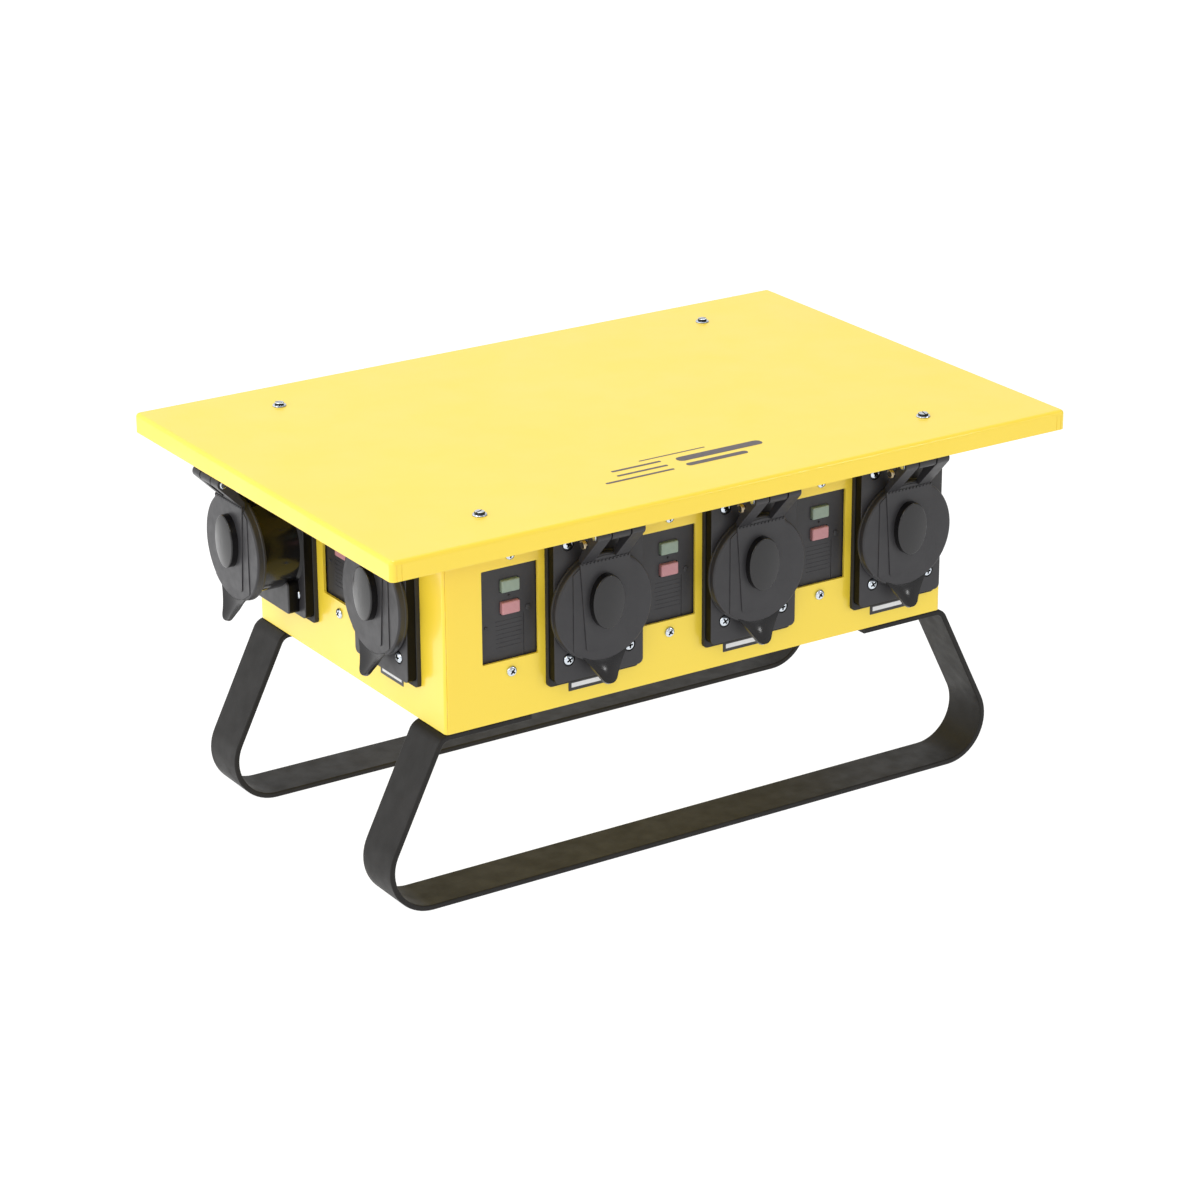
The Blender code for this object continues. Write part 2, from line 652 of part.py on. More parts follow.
def make_window(black, clear, steel):
    """Frame round the opening, and the clear door that lifts to reach the breakers."""
    frame = window_frame()
    out, up = DOOR_HINGE
    ring = slab(*WINDOW_FRAME, 5 * MM, GAP, WINDOW_FRAME_FACE, 1.2 * MM)
    ring = cut(ring, pull(rectangle(*WINDOW_OPENING), -SHEET, 2 * WINDOW_FRAME_FACE))
    ear_root = [(4 * MM, up - 4 * MM), (9 * MM, up - 4 * MM)]
    ear = with_eye(ear_root, DOOR_HINGE, DOOR_EYE, 10, [(4 * MM, up + 4.5 * MM)])
    ear_inner = DOOR_BARREL_HALF + 2 * GAP
    for side in (-1, 1):
        low, high = sorted((side * ear_inner, side * DOOR_EAR_OUTER))
        ring = joined(ring, pull(ear, low, high, "ZY"))
    eye_reach = DOOR_EAR_OUTER + MM
    eye = rod_across([(DOOR_PIN + GAP, -eye_reach), (DOOR_PIN + GAP, eye_reach)], 8, out, up)
    add("breaker_window_frame", cut(ring, eye), black, frame)
    low_half = DOOR_BARREL_HALF - GAP
    panel = pull(rounded_rectangle(*DOOR, 2 * MM), DOOR_BACK, DOOR_FACE)
    roots = [(DOOR_BACK, 30 * MM), (DOOR_FACE, 30 * MM)]
    barrel = with_eye(roots, DOOR_HINGE, DOOR_EYE, 70, [(DOOR_BACK, 34 * MM)])
    lift = [(DOOR_BACK, -30 * MM), (DOOR_FACE, -30 * MM), (15 * MM, -35 * MM), (12 * MM, -36 * MM)]
    pieces = [pull(barrel, -low_half, low_half, "ZY"), pull(lift, -14 * MM, 14 * MM, "ZY")]
    door = cut(joined(panel, *pieces), eye)
    pivot = (0, up, out)
    add("breaker_window_door", door, clear, frame, pivot)
    pin = hinge_pin(DOOR_HINGE, DOOR_PIN, DOOR_EAR_OUTER + GAP, 2.2 * MM)
    add("breaker_window_pin", pin, steel, frame, pivot)


def breaker_body():
    body = slab(*BREAKER, 1 * MM, BREAKER_BACK, BREAKER_SHOULDER, 0.6 * MM, steps=1)
    back = BREAKER_SHOULDER - 2 * MM
    nose = slab(*BREAKER_NOSE, 1 * MM, back, BREAKER_NOSE_FACE, 0.6 * MM, steps=1)
    slot = pull(rectangle(*TOGGLE_SLOT), TOGGLE_PIVOT - TOGGLE_BARREL - MM, 0)
    return cut(joined(body, nose), slot)


def toggle_lever():
    """Lever of a breaker, tilted up to its on position."""
    heading = math.degrees(TOGGLE_TILT)
    pivot = (TOGGLE_PIVOT, 0)
    tip_half = 1.9 * MM
    way = Vector((math.cos(TOGGLE_TILT), math.sin(TOGGLE_TILT)))
    side = Vector((-way.y, way.x))
    tip = Vector(pivot) + way * TOGGLE_REACH
    tip_points = [tuple(tip - side * tip_half), tuple(tip + side * tip_half)]
    outline = tip_points + arc(pivot, TOGGLE_BARREL, heading + 60, heading + 300, 7)
    return pull(outline, -TOGGLE_HALF_WIDTH, TOGGLE_HALF_WIDTH, "ZY")


def make_breakers(black, lever_paint, steel):
    body = breaker_body()
    lever = toggle_lever()
    for n in range(4):
        along = (1.5 - n) * BREAKER_PITCH
        frame = set_on_wall("rear", along, WINDOW_HEIGHT)
        add(f"circuit_breaker_{n + 1}", body, black, frame)
        add(f"breaker_toggle_{n + 1}", lever, lever_paint, frame, (0, 0, TOGGLE_PIVOT))
    rear = BOX_DEPTH / 2 + BREAKER_BACK - GAP
    low = BOX_BOTTOM + SHEET + GAP
    high = WINDOW_HEIGHT + 30 * MM
    foot = 22 * MM
    sheet = 2 * MM
    profile = [(rear, low), (rear, high), (rear - sheet, high), (rear - sheet, low + sheet)]
    profile += [(rear - foot, low + sheet), (rear - foot, low)]
    add("breaker_rail", pull(profile, -60 * MM, 60 * MM, "YZ"), steel)


# Inside the box


def make_terminal_block(grey):
    """Barrier block where the inlet's conductors are shared out."""
    floor = BOX_BOTTOM + SHEET + GAP
    block = box((-48 * MM, -50 * MM, floor), (48 * MM, 2 * MM, floor + 24 * MM))
    walls = [
        box((x * MM - MM, -50 * MM, floor), (x * MM + MM, 2 * MM, floor + 36 * MM))
        for x in (-47, -16, 16, 47)
    ]
    add("terminal_block", joined(block, *walls), grey)


def make_ground_bar(brass):
    """Bar with a row of wire holes, on two feet."""
    floor = BOX_BOTTOM + SHEET + GAP
    bar = box((80 * MM, 20 * MM, floor + 8 * MM), (170 * MM, 30 * MM, floor + 16 * MM))
    feet = [
        box((x * MM, 20.5 * MM, floor), (x * MM + 8 * MM, 29.5 * MM, floor + 10 * MM))
        for x in (81, 161)
    ]
    bar = joined(bar, *feet)
    holes = [
        turned([(2 * MM, floor + 6 * MM), (2 * MM, floor + 20 * MM)], 6, (x * MM, 25 * MM))
        for x in range(95, 160, 10)
    ]
    add("ground_bar", cut(bar, *holes), brass)


def main():
    clear_scene()
    yellow = make_material("yellow_paint", (0.93, 0.68, 0.09), 0.38)
    powder_coat = make_material("black_powder_coat", (0.035, 0.033, 0.03), 0.55)
    black = make_material("black_plastic", (0.045, 0.044, 0.048), 0.4)
    grey = make_material("grey_plastic", (0.2, 0.2, 0.21), 0.45)
    clear = make_material("clear_plastic", (0.85, 0.88, 0.9), 0.1, 0.0, 0.35)
    zinc = make_material("zinc_plate", (0.66, 0.68, 0.7), 0.3, 1.0)
    brass = make_material("brass", (0.7, 0.52, 0.24), 0.3, 1.0)
    buttons = {
        "green": make_material("green_button", (0.25, 0.36, 0.27), 0.45),
        "red": make_material("red_button", (0.5, 0.22, 0.23), 0.45),
    }
    make_housing(yellow)
    make_roof(yellow)
    make_base_panel(yellow)
    make_roof_screws(zinc)
    make_legs(powder_coat)
    make_outlets(black, grey, zinc)
    make_modules(black, buttons)
    make_window(black, clear, zinc)
    make_breakers(black, grey, zinc)
    make_terminal_block(grey)
    make_ground_bar(brass)


main()
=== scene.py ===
"""Looks of a portable power distribution box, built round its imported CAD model.

Pieces are drawn in millimetres, and add() brings them to metres. A piece mounted on a wall is
drawn lying on its back: X to its right, Y up the wall and Z out of the wall, with Z = 0 on the
wall's outer face. A wall frame, worked out from the CAD node that the piece goes with, then stands
it in place.
"""

import json
import math
from functools import reduce

import bmesh
import bpy
from mathutils import Matrix, Vector


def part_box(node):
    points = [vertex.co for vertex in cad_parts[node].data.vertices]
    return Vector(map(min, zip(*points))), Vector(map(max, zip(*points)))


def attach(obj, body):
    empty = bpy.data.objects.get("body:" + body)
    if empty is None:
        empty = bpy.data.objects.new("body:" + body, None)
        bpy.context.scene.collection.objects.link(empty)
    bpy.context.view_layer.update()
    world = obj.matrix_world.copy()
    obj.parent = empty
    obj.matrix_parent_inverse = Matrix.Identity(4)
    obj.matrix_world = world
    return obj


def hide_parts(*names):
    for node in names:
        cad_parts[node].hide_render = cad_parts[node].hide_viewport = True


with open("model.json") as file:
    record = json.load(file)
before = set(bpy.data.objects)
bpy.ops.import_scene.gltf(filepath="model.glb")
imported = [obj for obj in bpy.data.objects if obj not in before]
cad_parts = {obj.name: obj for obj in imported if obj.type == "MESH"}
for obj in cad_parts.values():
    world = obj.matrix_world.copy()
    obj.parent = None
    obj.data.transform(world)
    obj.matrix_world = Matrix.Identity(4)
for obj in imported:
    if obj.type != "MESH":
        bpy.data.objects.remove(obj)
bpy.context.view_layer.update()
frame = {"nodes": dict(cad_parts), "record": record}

TO_METRES = 0.001
CAMERA_PLACE = (-1.3481, -2.0850, 1.1007)
CAMERA_TURN = (math.radians(90 - 21.254), math.radians(-0.34), math.radians(-32.877))
CAMERA_LENS = 111.2
SHARP = math.radians(34)
CORNERS = ((-1, -1), (-1, 1), (1, -1), (1, 1))
ENDINGS = ((-1, "lower"), (1, "upper"))

# Sheet metal, in millimetres
SHEET = 1.9
GAP = 0.3
BOX_CORNER = 3
ROOF_BEND = 3
ROOF_CORNER = 3.6
TOP_LIP = 14
LEG_BAR = 4
LEG_FLANGE_END = 139.8
LEG_TOP_CORNER = 209.2
LEG_LEAN = math.radians(26.3)
LEG_TOP_BEND = 8.8
LEG_FOOT_BEND = 31
LEG_BOLTS = (-190, -157, 157, 190)
ROOF_SCREW_HOLE = 2.7
ROOF_SCREWS = [f"roof_screw_{y}_{x}" for y in ("front", "rear") for x in ("left", "right")]
ROOF_SEAM_INSETS = (0.6, 4.3)
ROOF_SEAM = (0.16, 0.3)
HOUSING_SEAM_INSET = 1.6
HOUSING_SEAM = (0.14, 0.85)

# Cover plate and flip lid
PLATE = (71.2, 114.3)
PLATE_FACE = 10
SCREW_SEAT = PLATE_FACE - 0.9
GASKET = (73, 122.9)
GASKET_FACE = 3.2
PLATE_SCREW = (24.3, 41.25)
WELL_DROP = 6.15
WELL = (0, -WELL_DROP)
WELL_RADIUS = 27.5
WALL_HOLE = 28.5
COLLAR_RADIUS = 31
COLLAR_FACE = 14.5
LID_RADIUS = 39
LID_BACK = PLATE_FACE + GAP
LID_FACE = 17
LID_EDGE = 1.6
LID_HOLLOW_RADIUS = 36.3
LID_HOLLOW_FACE = 14.8
BAND_HALF = 25
BAND_FACE = 17.6
STRIP_FACE = 18.3
KNOB = (25.8, 39)
KNOB_RISE = 5.4
KNOB_FACE = 24.9
ARM_INNER = 8.2
ARM_OUTER = 18.8
KNUCKLE_HALF = 7.3
EYE_RADIUS = 4.3
PIN_RADIUS = 1.6
INLET_RISE = 30
SHROUD_RADIUS = 34.6
OUTLET_HINGE = (34.5, 52.85)
INLET_HINGE = (61, 47.85)
INSERT_RADIUS = WELL_RADIUS - GAP
SPRING_PLACE = (22.8, 44)
BLADES = (-6.4, 6.4)
BLADE_UP = 4
TWIST_BLADES = ((70, 110), (160, 200), (-20, 20), (-104, -76))  # degrees

# Ground-fault module
MODULE_OPENING = (43.8, 66.5)
MODULE_OPENING_RIGHT = -0.4
MODULE_FACE = -3
MODULE_LAP = 1
MODULE_SCREW = 41.65
BUTTON = (14.2, 8.8)
BUTTON_RIGHT = 1
BUTTON_HEIGHTS = {"green": 19, "red": 3.4}

# Plain bars on the roof: width, height and place
ROOF_BARS = ((70, 8.5, 21, -118), (50, 5.5, 11, -130), (40, 2.6, -44.5, -114),
             (41, 2.6, -45.5, -123.3), (55, 2.6, -53, -132), (54, 1.5, -10, -106))

# Breaker window
WINDOW_OPENING = (112, 56)
WINDOW_FRAME = (136, 86)
WINDOW_FRAME_FACE = 7.5
WINDOW_SCREW = (63.6, 38)
DOOR = (118, 66)
DOOR_BACK = WINDOW_FRAME_FACE + GAP
DOOR_FACE = 10.6
DOOR_HINGE = (11.4, 37.2)
DOOR_EYE = 3.2
DOOR_PIN = 1.2
DOOR_BARREL_HALF = 54
DOOR_EAR_OUTER = 61
TOGGLE_PIVOT = -10
TOGGLE_REACH = 13
TOGGLE_TILT = math.radians(25)
TOGGLE_HALF_WIDTH = 3.2


# Outlines: lists of points in a plane


def arc(centre, radius, start, end, steps):
    """Points on a circle from one angle to the other, in degrees."""
    angles = [math.radians(start + (end - start) * i / steps) for i in range(steps + 1)]
    return [(centre[0] + radius * math.cos(a), centre[1] + radius * math.sin(a)) for a in angles]


def oval(width, height, steps, centre=(0, 0)):
    angles = [math.tau * i / steps for i in range(steps)]
    return [
        (centre[0] + width / 2 * math.cos(a), centre[1] + height / 2 * math.sin(a)) for a in angles
    ]


def rounded_rectangle(width, height, radius, centre=(0, 0), steps=5):
    points = []
    for quarter, (side_x, side_y) in enumerate(((1, 1), (-1, 1), (-1, -1), (1, -1))):
        middle_x = centre[0] + side_x * (width / 2 - radius)
        middle_y = centre[1] + side_y * (height / 2 - radius)
        points += arc((middle_x, middle_y), radius, 90 * quarter, 90 * quarter + 90, steps)
    return points


def rectangle(width, height, centre=(0, 0)):
    return [
        (centre[0] + side_x * width / 2, centre[1] + side_y * height / 2)
        for side_x, side_y in ((1, 1), (-1, 1), (-1, -1), (1, -1))
    ]


def ring_slot(radius, width, start, end, centre, steps=12):
    """Outline of a curved slot, as a twist-lock blade makes."""
    outer = arc(centre, radius + width / 2, start, end, steps)
    inner = arc(centre, radius - width / 2, end, start, steps)
    return outer + inner


def with_eye(root_low, axis, radius, heading, root_high):
    """Side profile of an arm that ends in a hinge eye, with root points on each side."""
    return root_low + arc(axis, radius, heading - 90, heading + 90, 16) + root_high


# Meshes


def in_scene(name, data):
    """New object that is linked to the scene."""
    obj = bpy.data.objects.new(name, data)
    bpy.context.scene.collection.objects.link(obj)
    return obj


def as_mesh(shape, name):
    mesh = bpy.data.meshes.new(name)
    shape.to_mesh(mesh)
    shape.free()
    return mesh


def solid(rings):
    """Closed mesh through rings of as many points each, with flat ends."""
    shape = bmesh.new()
    levels = [[shape.verts.new(point) for point in ring] for ring in rings]
    shape.faces.new(levels[0])
    shape.faces.new(levels[-1])
    for low, high in zip(levels, levels[1:]):
        for i in range(len(low)):
            j = (i + 1) % len(low)
            shape.faces.new((low[i], low[j], high[j], high[i]))
    bmesh.ops.recalc_face_normals(shape, faces=shape.faces)
    return as_mesh(shape, "solid")


def pull(outline, low, high, plane="XY"):
    """Outline drawn in one plane, pulled from low to high along the third axis."""
    order = {
        "XY": lambda a, b, c: (a, b, c),
        "XZ": lambda a, b, c: (a, c, b),
        "ZY": lambda a, b, c: (c, b, a),
    }[plane]
    return solid([[order(a, b, level) for a, b in outline] for level in (low, high)])


def slab(width, height, corner, low, high, edge, centre=(0, 0), steps=5):
    """Plate with rounded corners, whose upper edge is rounded too."""
    levels = [(0, low), (0, high - edge)]
    for i in range(1, steps + 1):
        turn = math.pi / 2 * i / steps
        levels.append((edge * (1 - math.cos(turn)), high - edge * (1 - math.sin(turn))))
    rings = []
    for inset, level in levels:
        radius = max(corner - inset, 0.2 * corner)
        size = (width - 2 * inset, height - 2 * inset)
        outline = rounded_rectangle(*size, radius, centre, steps)
        rings.append([(x, y, level) for x, y in outline])
    return solid(rings)


def turned(profile, sides=64, centre=(0, 0)):
    """Round solid about a line along Z, from (radius, height) pairs."""
    return solid(
        [[(x, y, level) for x, y in oval(2 * r, 2 * r, sides, centre)] for r, level in profile]
    )


def rod_across(profile, sides, out, up):
    """Round solid about a line along X, from (radius, x) pairs."""
    return solid(
        [[(x, b, a) for a, b in oval(2 * r, 2 * r, sides, (out, up))] for r, x in profile]
    )


def block(low, high):
    outline = [(low[0], low[1]), (high[0], low[1]), (high[0], high[1]), (low[0], high[1])]
    return pull(outline, low[2], high[2])


def softened(mesh, width, segments=2):
    """Mesh whose sharp edges are rounded."""
    shape = bmesh.new()
    shape.from_mesh(mesh)
    sharp = [edge for edge in shape.edges if edge.calc_face_angle(0) > SHARP]
    bmesh.ops.bevel(
        shape, geom=sharp, offset=width, segments=segments, profile=0.5, affect="EDGES",
        clamp_overlap=True,
    )
    return as_mesh(shape, "softened")


def together(*meshes):
    """One mesh that holds several closed ones."""
    shape = bmesh.new()
    for mesh in meshes:
        shape.from_mesh(mesh)
    return as_mesh(shape, "together")


def boolean(body_mesh, tool_mesh, operation):
    body, tool = in_scene("body", body_mesh), in_scene("tool", tool_mesh)
    change = body.modifiers.new("change", "BOOLEAN")
    change.operation = operation
    change.object = tool
    change.solver = "EXACT"
    graph = bpy.context.evaluated_depsgraph_get()
    result = bpy.data.meshes.new_from_object(body.evaluated_get(graph))
    for obj in (body, tool):
        bpy.data.objects.remove(obj)
    return result


def joined(*meshes):
    return reduce(lambda body, tool: boolean(body, tool, "UNION"), meshes)


def cut(body, *tools):
    return reduce(lambda left, tool: boolean(left, tool, "DIFFERENCE"), tools, body)


def moved(mesh, matrix):
    copy = mesh.copy()
    copy.transform(matrix)
    return copy


# Places, worked out from the CAD nodes


def in_mm(node):
    low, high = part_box(node)
    return low / TO_METRES, high / TO_METRES


def middle_of(node):
    return sum(in_mm(node), Vector()) / 2


WALL = in_mm("base_panel")[1] + Vector((SHEET + GAP, SHEET + GAP, 0))
WALL_TURNS = {"front": 0, "left": -90, "right": 90, "rear": 180}


def on_wall(side, node):
    """Frame of a piece that goes with a CAD node on one side of the box."""
    middle = middle_of(node)
    spot = {
        "front": (middle.x, -WALL.y, middle.z),
        "rear": (middle.x, WALL.y, middle.z),
        "left": (-WALL.x, middle.y, middle.z),
        "right": (WALL.x, middle.y, middle.z),
    }[side]
    stand = Matrix.Rotation(math.radians(WALL_TURNS[side]), 4, "Z")
    return Matrix.Translation(spot) @ stand @ Matrix.Rotation(math.radians(90), 4, "X")


FRONT_NAMES = ("front_1", "front_2", "front_3")
OUTLETS = {name: on_wall("front", f"cover_plate_{name}") for name in FRONT_NAMES}
OUTLETS["left"] = on_wall("left", "cover_plate_left")
STRAIGHT_OUTLETS = dict(OUTLETS)
OUTLETS["feed_outlet"] = on_wall("right", "cover_plate_feed_outlet")
INLET = on_wall("left", "cover_plate_inlet")
MODULES = {name: on_wall("front", f"ground_fault_module_{name}") for name in FRONT_NAMES}
MODULES["left"] = on_wall("left", "ground_fault_module_left")
WINDOW = on_wall("rear", "breaker_window_frame")


def lid_body(name):
    return {"feed_outlet": "feed_outlet_lid", "inlet": "inlet_lid"}.get(name, f"outlet_lid_{name}")


# Materials


class Surface:
    """A Principled material that is built up node by node, in object space."""

    def __init__(self, name, colour, roughness, metallic=0.0, **inputs):
        self.name = name
        self.material = bpy.data.materials.new(name)
        self.material.use_nodes = True
        self.nodes = self.material.node_tree.nodes
        self.links = self.material.node_tree.links
        self.shader = self.nodes["Principled BSDF"]
        self.shader.inputs["Metallic"].default_value = metallic
        for key, value in inputs.items():
            self.shader.inputs[key.replace("_", " ")].default_value = value
        self.place = self.nodes.new("ShaderNodeTexCoord").outputs["Object"]
        self.colour = self.nodes.new("ShaderNodeRGB").outputs[0]
        self.colour.default_value = (*colour, 1.0)
        self.links.new(self.colour, self.shader.inputs["Base Color"])
        self.roughness = roughness
        self.shader.inputs["Roughness"].default_value = roughness
        self.normal = None

    def noise(self, size, detail=3.0):
        """Noise whose features are about size millimetres wide."""
        mapping = self.nodes.new("ShaderNodeMapping")
        mapping.inputs["Scale"].default_value = [1 / (size * TO_METRES)] * 3
        self.links.new(self.place, mapping.inputs["Vector"])
        texture = self.nodes.new("ShaderNodeTexNoise")
        texture.inputs["Scale"].default_value = 1.0
        texture.inputs["Detail"].default_value = detail
        self.links.new(mapping.outputs["Vector"], texture.inputs["Vector"])
        return texture.outputs["Fac"]

    def ramp(self, value, low, high, to_low, to_high):
        node = self.nodes.new("ShaderNodeMapRange")
        node.clamp = True
        keys = ("From Min", "From Max", "To Min", "To Max")
        for key, number in zip(keys, (low, high, to_low, to_high)):
            node.inputs[key].default_value = number
        self.links.new(value, node.inputs["Value"])
        return node.outputs["Result"]

    def combined(self, kind, operation, first, second):
        node = self.nodes.new(kind)
        node.operation = operation
        self.links.new(first, node.inputs[0])
        self.links.new(second, node.inputs[1])
        return node.outputs["Value"]

    def tint(self, mask, colour):
        """Mixes a colour over what is there, as much as mask says."""
        mix = self.nodes.new("ShaderNodeMix")
        mix.data_type = "RGBA"
        sockets = [socket for socket in mix.inputs if socket.type == "RGBA"]
        sockets[1].default_value = (*colour, 1.0)
        self.links.new(mask, mix.inputs["Factor"])
        self.links.new(self.colour, sockets[0])
        self.colour = [socket for socket in mix.outputs if socket.type == "RGBA"][0]
        self.links.new(self.colour, self.shader.inputs["Base Color"])
        return self

    def mottle(self, size, colour, amount):
        """Soft patches of a second colour."""
        return self.tint(self.ramp(self.noise(size), 0.4, 0.75, 0.0, amount), colour)

    def sheen_patches(self, size, spread):
        """Roughness that wanders by spread to each side."""
        low, high = self.roughness - spread, self.roughness + spread
        level = self.ramp(self.noise(size, 4.0), 0.3, 0.7, low, high)
        self.links.new(level, self.shader.inputs["Roughness"])
        return self

    def bump(self, size, depth):
        """Relief that is depth millimetres deep."""
        node = self.nodes.new("ShaderNodeBump")
        node.inputs["Distance"].default_value = depth * TO_METRES
        self.links.new(self.noise(size, 2.0), node.inputs["Height"])
        if self.normal:
            self.links.new(self.normal, node.inputs["Normal"])
        self.normal = node.outputs["Normal"]
        self.links.new(self.normal, self.shader.inputs["Normal"])
        return self

    def worn_and_highlit_edges(self, radius, colour, amount):
        """Edges painted a lighter colour in patches: rubbed wear, and a painted highlight along the
        edge.
        """
        bevel = self.nodes.new("ShaderNodeBevel")
        bevel.samples = 4
        bevel.inputs["Radius"].default_value = radius * TO_METRES
        normal = self.nodes.new("ShaderNodeNewGeometry").outputs["Normal"]
        facing = self.combined("ShaderNodeVectorMath", "DOT_PRODUCT", bevel.outputs[0], normal)
        edge = self.ramp(facing, 0.97, 0.8, 0.0, amount)
        patches = self.ramp(self.noise(9, 5.0), 0.45, 0.62, 0.0, 1.0)
        return self.tint(self.combined("ShaderNodeMath", "MULTIPLY", edge, patches), colour)


def yellow_paint():
    paint = Surface("yellow_paint", (0.93, 0.69, 0.05), 0.35, Coat_Weight=0.4, Coat_Roughness=0.1)
    paint.mottle(140, (0.9, 0.65, 0.035), 0.35)
    # Paler yellow edges: rubbed paint and a painted highlight along the folded edges.
    paint.worn_and_highlit_edges(0.7, (0.97, 0.83, 0.32), 0.5)
    return paint.sheen_patches(45, 0.06).bump(2.2, 0.012).bump(0.5, 0.002)


def black_powder_coat():
    coat = Surface("black_powder_coat", (0.0125, 0.0115, 0.0105), 0.5, Specular_IOR_Level=0.24)
    coat.mottle(30, (0.02, 0.018, 0.017), 0.6)
    coat.worn_and_highlit_edges(0.8, (0.07, 0.065, 0.06), 0.5)
    return coat.sheen_patches(12, 0.07).bump(0.9, 0.05)


def black_plastic():
    plastic = Surface("black_plastic", (0.029, 0.028, 0.031), 0.42, Specular_IOR_Level=0.42)
    plastic.mottle(18, (0.037, 0.036, 0.039), 0.5)
    # Lighter edges: wear and a painted highlight along the moulded edges.
    plastic.worn_and_highlit_edges(0.4, (0.08, 0.08, 0.085), 0.45)
    return plastic.sheen_patches(7, 0.06).bump(0.35, 0.006)


def plain_surface(name, colour, roughness, patches, sheen, relief, metallic=0.0, **inputs):
    """Surface with patches of a second colour, wandering sheen and fine relief."""
    surface = Surface(name, colour, roughness, metallic, **inputs)
    return surface.mottle(*patches).sheen_patches(*sheen).bump(*relief)


def black_gloss():
    """The black plastic where the mould was polished, on round sides."""
    patches = (9, (0.009, 0.0085, 0.009), 0.5)
    return plain_surface("black_gloss", (0.006, 0.0055, 0.006), 0.17, patches, (8, 0.05),
                         (1.5, 0.006), Specular_IOR_Level=0.36)


def black_satin():
    """The black plastic worn smooth by fingers, on the knobs and the beaks of the lids."""
    patches = (5, (0.016, 0.0155, 0.0165), 0.5)
    return plain_surface("black_satin", (0.013, 0.0125, 0.0135), 0.22, patches, (6, 0.04),
                         (1.2, 0.004), Specular_IOR_Level=0.5)


def black_shade():
    """Painted shade in black plastic, on narrow sides and in the recess of a screw."""
    patches = (4, (0.006, 0.0055, 0.0055), 0.5)
    return plain_surface("black_shade", (0.004, 0.0037, 0.0037), 0.38, patches, (5, 0.06),
                         (0.5, 0.006), Specular_IOR_Level=0.1)


def grey_plastic():
    patches = (14, (0.13, 0.13, 0.14), 0.5)
    return plain_surface("grey_plastic", (0.16, 0.16, 0.17), 0.45, patches, (6, 0.06), (0.4, 0.008))


def toggle_plastic():
    patches = (5, (0.035, 0.035, 0.037), 0.5)
    return plain_surface("toggle_plastic", (0.024, 0.024, 0.026), 0.42, patches, (4, 0.06),
                         (0.3, 0.006))


def gasket_rubber():
    patches = (6, (0.032, 0.03, 0.027), 0.6)
    return plain_surface("gasket_rubber", (0.02, 0.019, 0.018), 0.75, patches, (3, 0.08),
                         (0.5, 0.04))


def button_plastic(name, colour, shade):
    return plain_surface(name, colour, 0.36, (3, shade, 0.5), (3, 0.05), (0.4, 0.005),
                         Subsurface_Weight=0.1, Subsurface_Radius=(0.001,) * 3)


def clear_plastic():
    plastic = Surface("clear_plastic", (0.9, 0.93, 0.94), 0.08, IOR=1.46, Transmission_Weight=1.0)
    return plastic.sheen_patches(20, 0.04).bump(9, 0.02)


def zinc_plate():
    patches = (1.6, (0.5, 0.56, 0.64), 0.8)
    return plain_surface("zinc_plate", (0.72, 0.77, 0.82), 0.19, patches, (1.2, 0.07),
                         (0.3, 0.006), metallic=1.0)


def brass():
    patches = (2.5, (0.6, 0.46, 0.25), 0.6)
    return plain_surface("brass", (0.76, 0.64, 0.42), 0.34, patches, (1.5, 0.05),
                         (0.4, 0.006), metallic=1.0)


def label_film():
    patches = (4, (0.03, 0.03, 0.03), 0.5)
    return plain_surface("label_film", (0.018,) * 3, 0.36, patches, (6, 0.06), (1.2, 0.006))


def label_ink(name, *colour):
    shade = [0.86 * c for c in colour]
    return plain_surface(name, colour, 0.45, (1.5, shade, 0.6), (3, 0.05), (0.4, 0.003))


MATERIALS = {
    surface.name: surface.material
    for surface in (
        yellow_paint(),
        black_powder_coat(),
        black_plastic(),
        black_gloss(),
        black_satin(),
        black_shade(),
        grey_plastic(),
        toggle_plastic(),
        gasket_rubber(),
        button_plastic("green_button", (0.24, 0.31, 0.25), (0.29, 0.36, 0.3)),
        button_plastic("red_button", (0.5, 0.23, 0.25), (0.56, 0.3, 0.31)),
        clear_plastic(),
        zinc_plate(),
        brass(),
        label_film(),
        label_ink("white_ink", 0.8, 0.8, 0.79),
        label_ink("grey_ink", 0.095, 0.08, 0.085),
    )
}


def sideways(face):
    return abs(face.normal.z) < 0.4


# Sideways faces take painted shade.
def painted_shade_sides(face):
    return "black_shade" if sideways(face) else None


# Materials that faces can be marked with: plain, glossy, satin, and painted shade.
MARKED_MATERIALS = (None, "black_gloss", "black_satin", "black_shade")
PLAIN, GLOSS, SATIN, PAINTED_SHADE = range(4)


def marked(mesh, sides, others):
    """Mesh whose faces are marked to take a material of MARKED_MATERIALS: glossy, satin, or painted
    shade.
    """
    marks = [sides if sideways(face) else others for face in mesh.polygons]
    mesh.polygons.foreach_set("material_index", marks)
    return mesh


def as_marked(face):
    return MARKED_MATERIALS[face.material_index]


def add(name, mesh, material, place=None, body="box", replaces=(), face_material=None):
    """Piece made of a mesh drawn in millimetres, which rides on a body.

    face_material names the material of a face, painted shade among them, or gives None where the
    piece's own material is to stay.
    """
    if "in_metres" not in mesh:
        face_materials = [face_material and face_material(face) or material for face in mesh.polygons]
        names = sorted(set(face_materials), key=lambda other: (other != material, other))
        mesh.materials.clear()
        for other in names:
            mesh.materials.append(MATERIALS[other])
        mesh.polygons.foreach_set("material_index", [names.index(other) for other in face_materials])
        mesh.transform(Matrix.Scale(TO_METRES, 4))
        mesh["in_metres"] = True
        mesh.shade_smooth()
        mesh.set_sharp_from_angle(angle=SHARP)
    piece = in_scene(name, mesh)
    turn = place or Matrix()
    piece.matrix_world = Matrix.Translation(turn.translation * TO_METRES) @ turn.to_3x3().to_4x4()
    normals = piece.modifiers.new("normals", "WEIGHTED_NORMAL")
    normals.keep_sharp = True
    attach(piece, body)
    if replaces:
        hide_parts(*replaces)


# Sheet metal


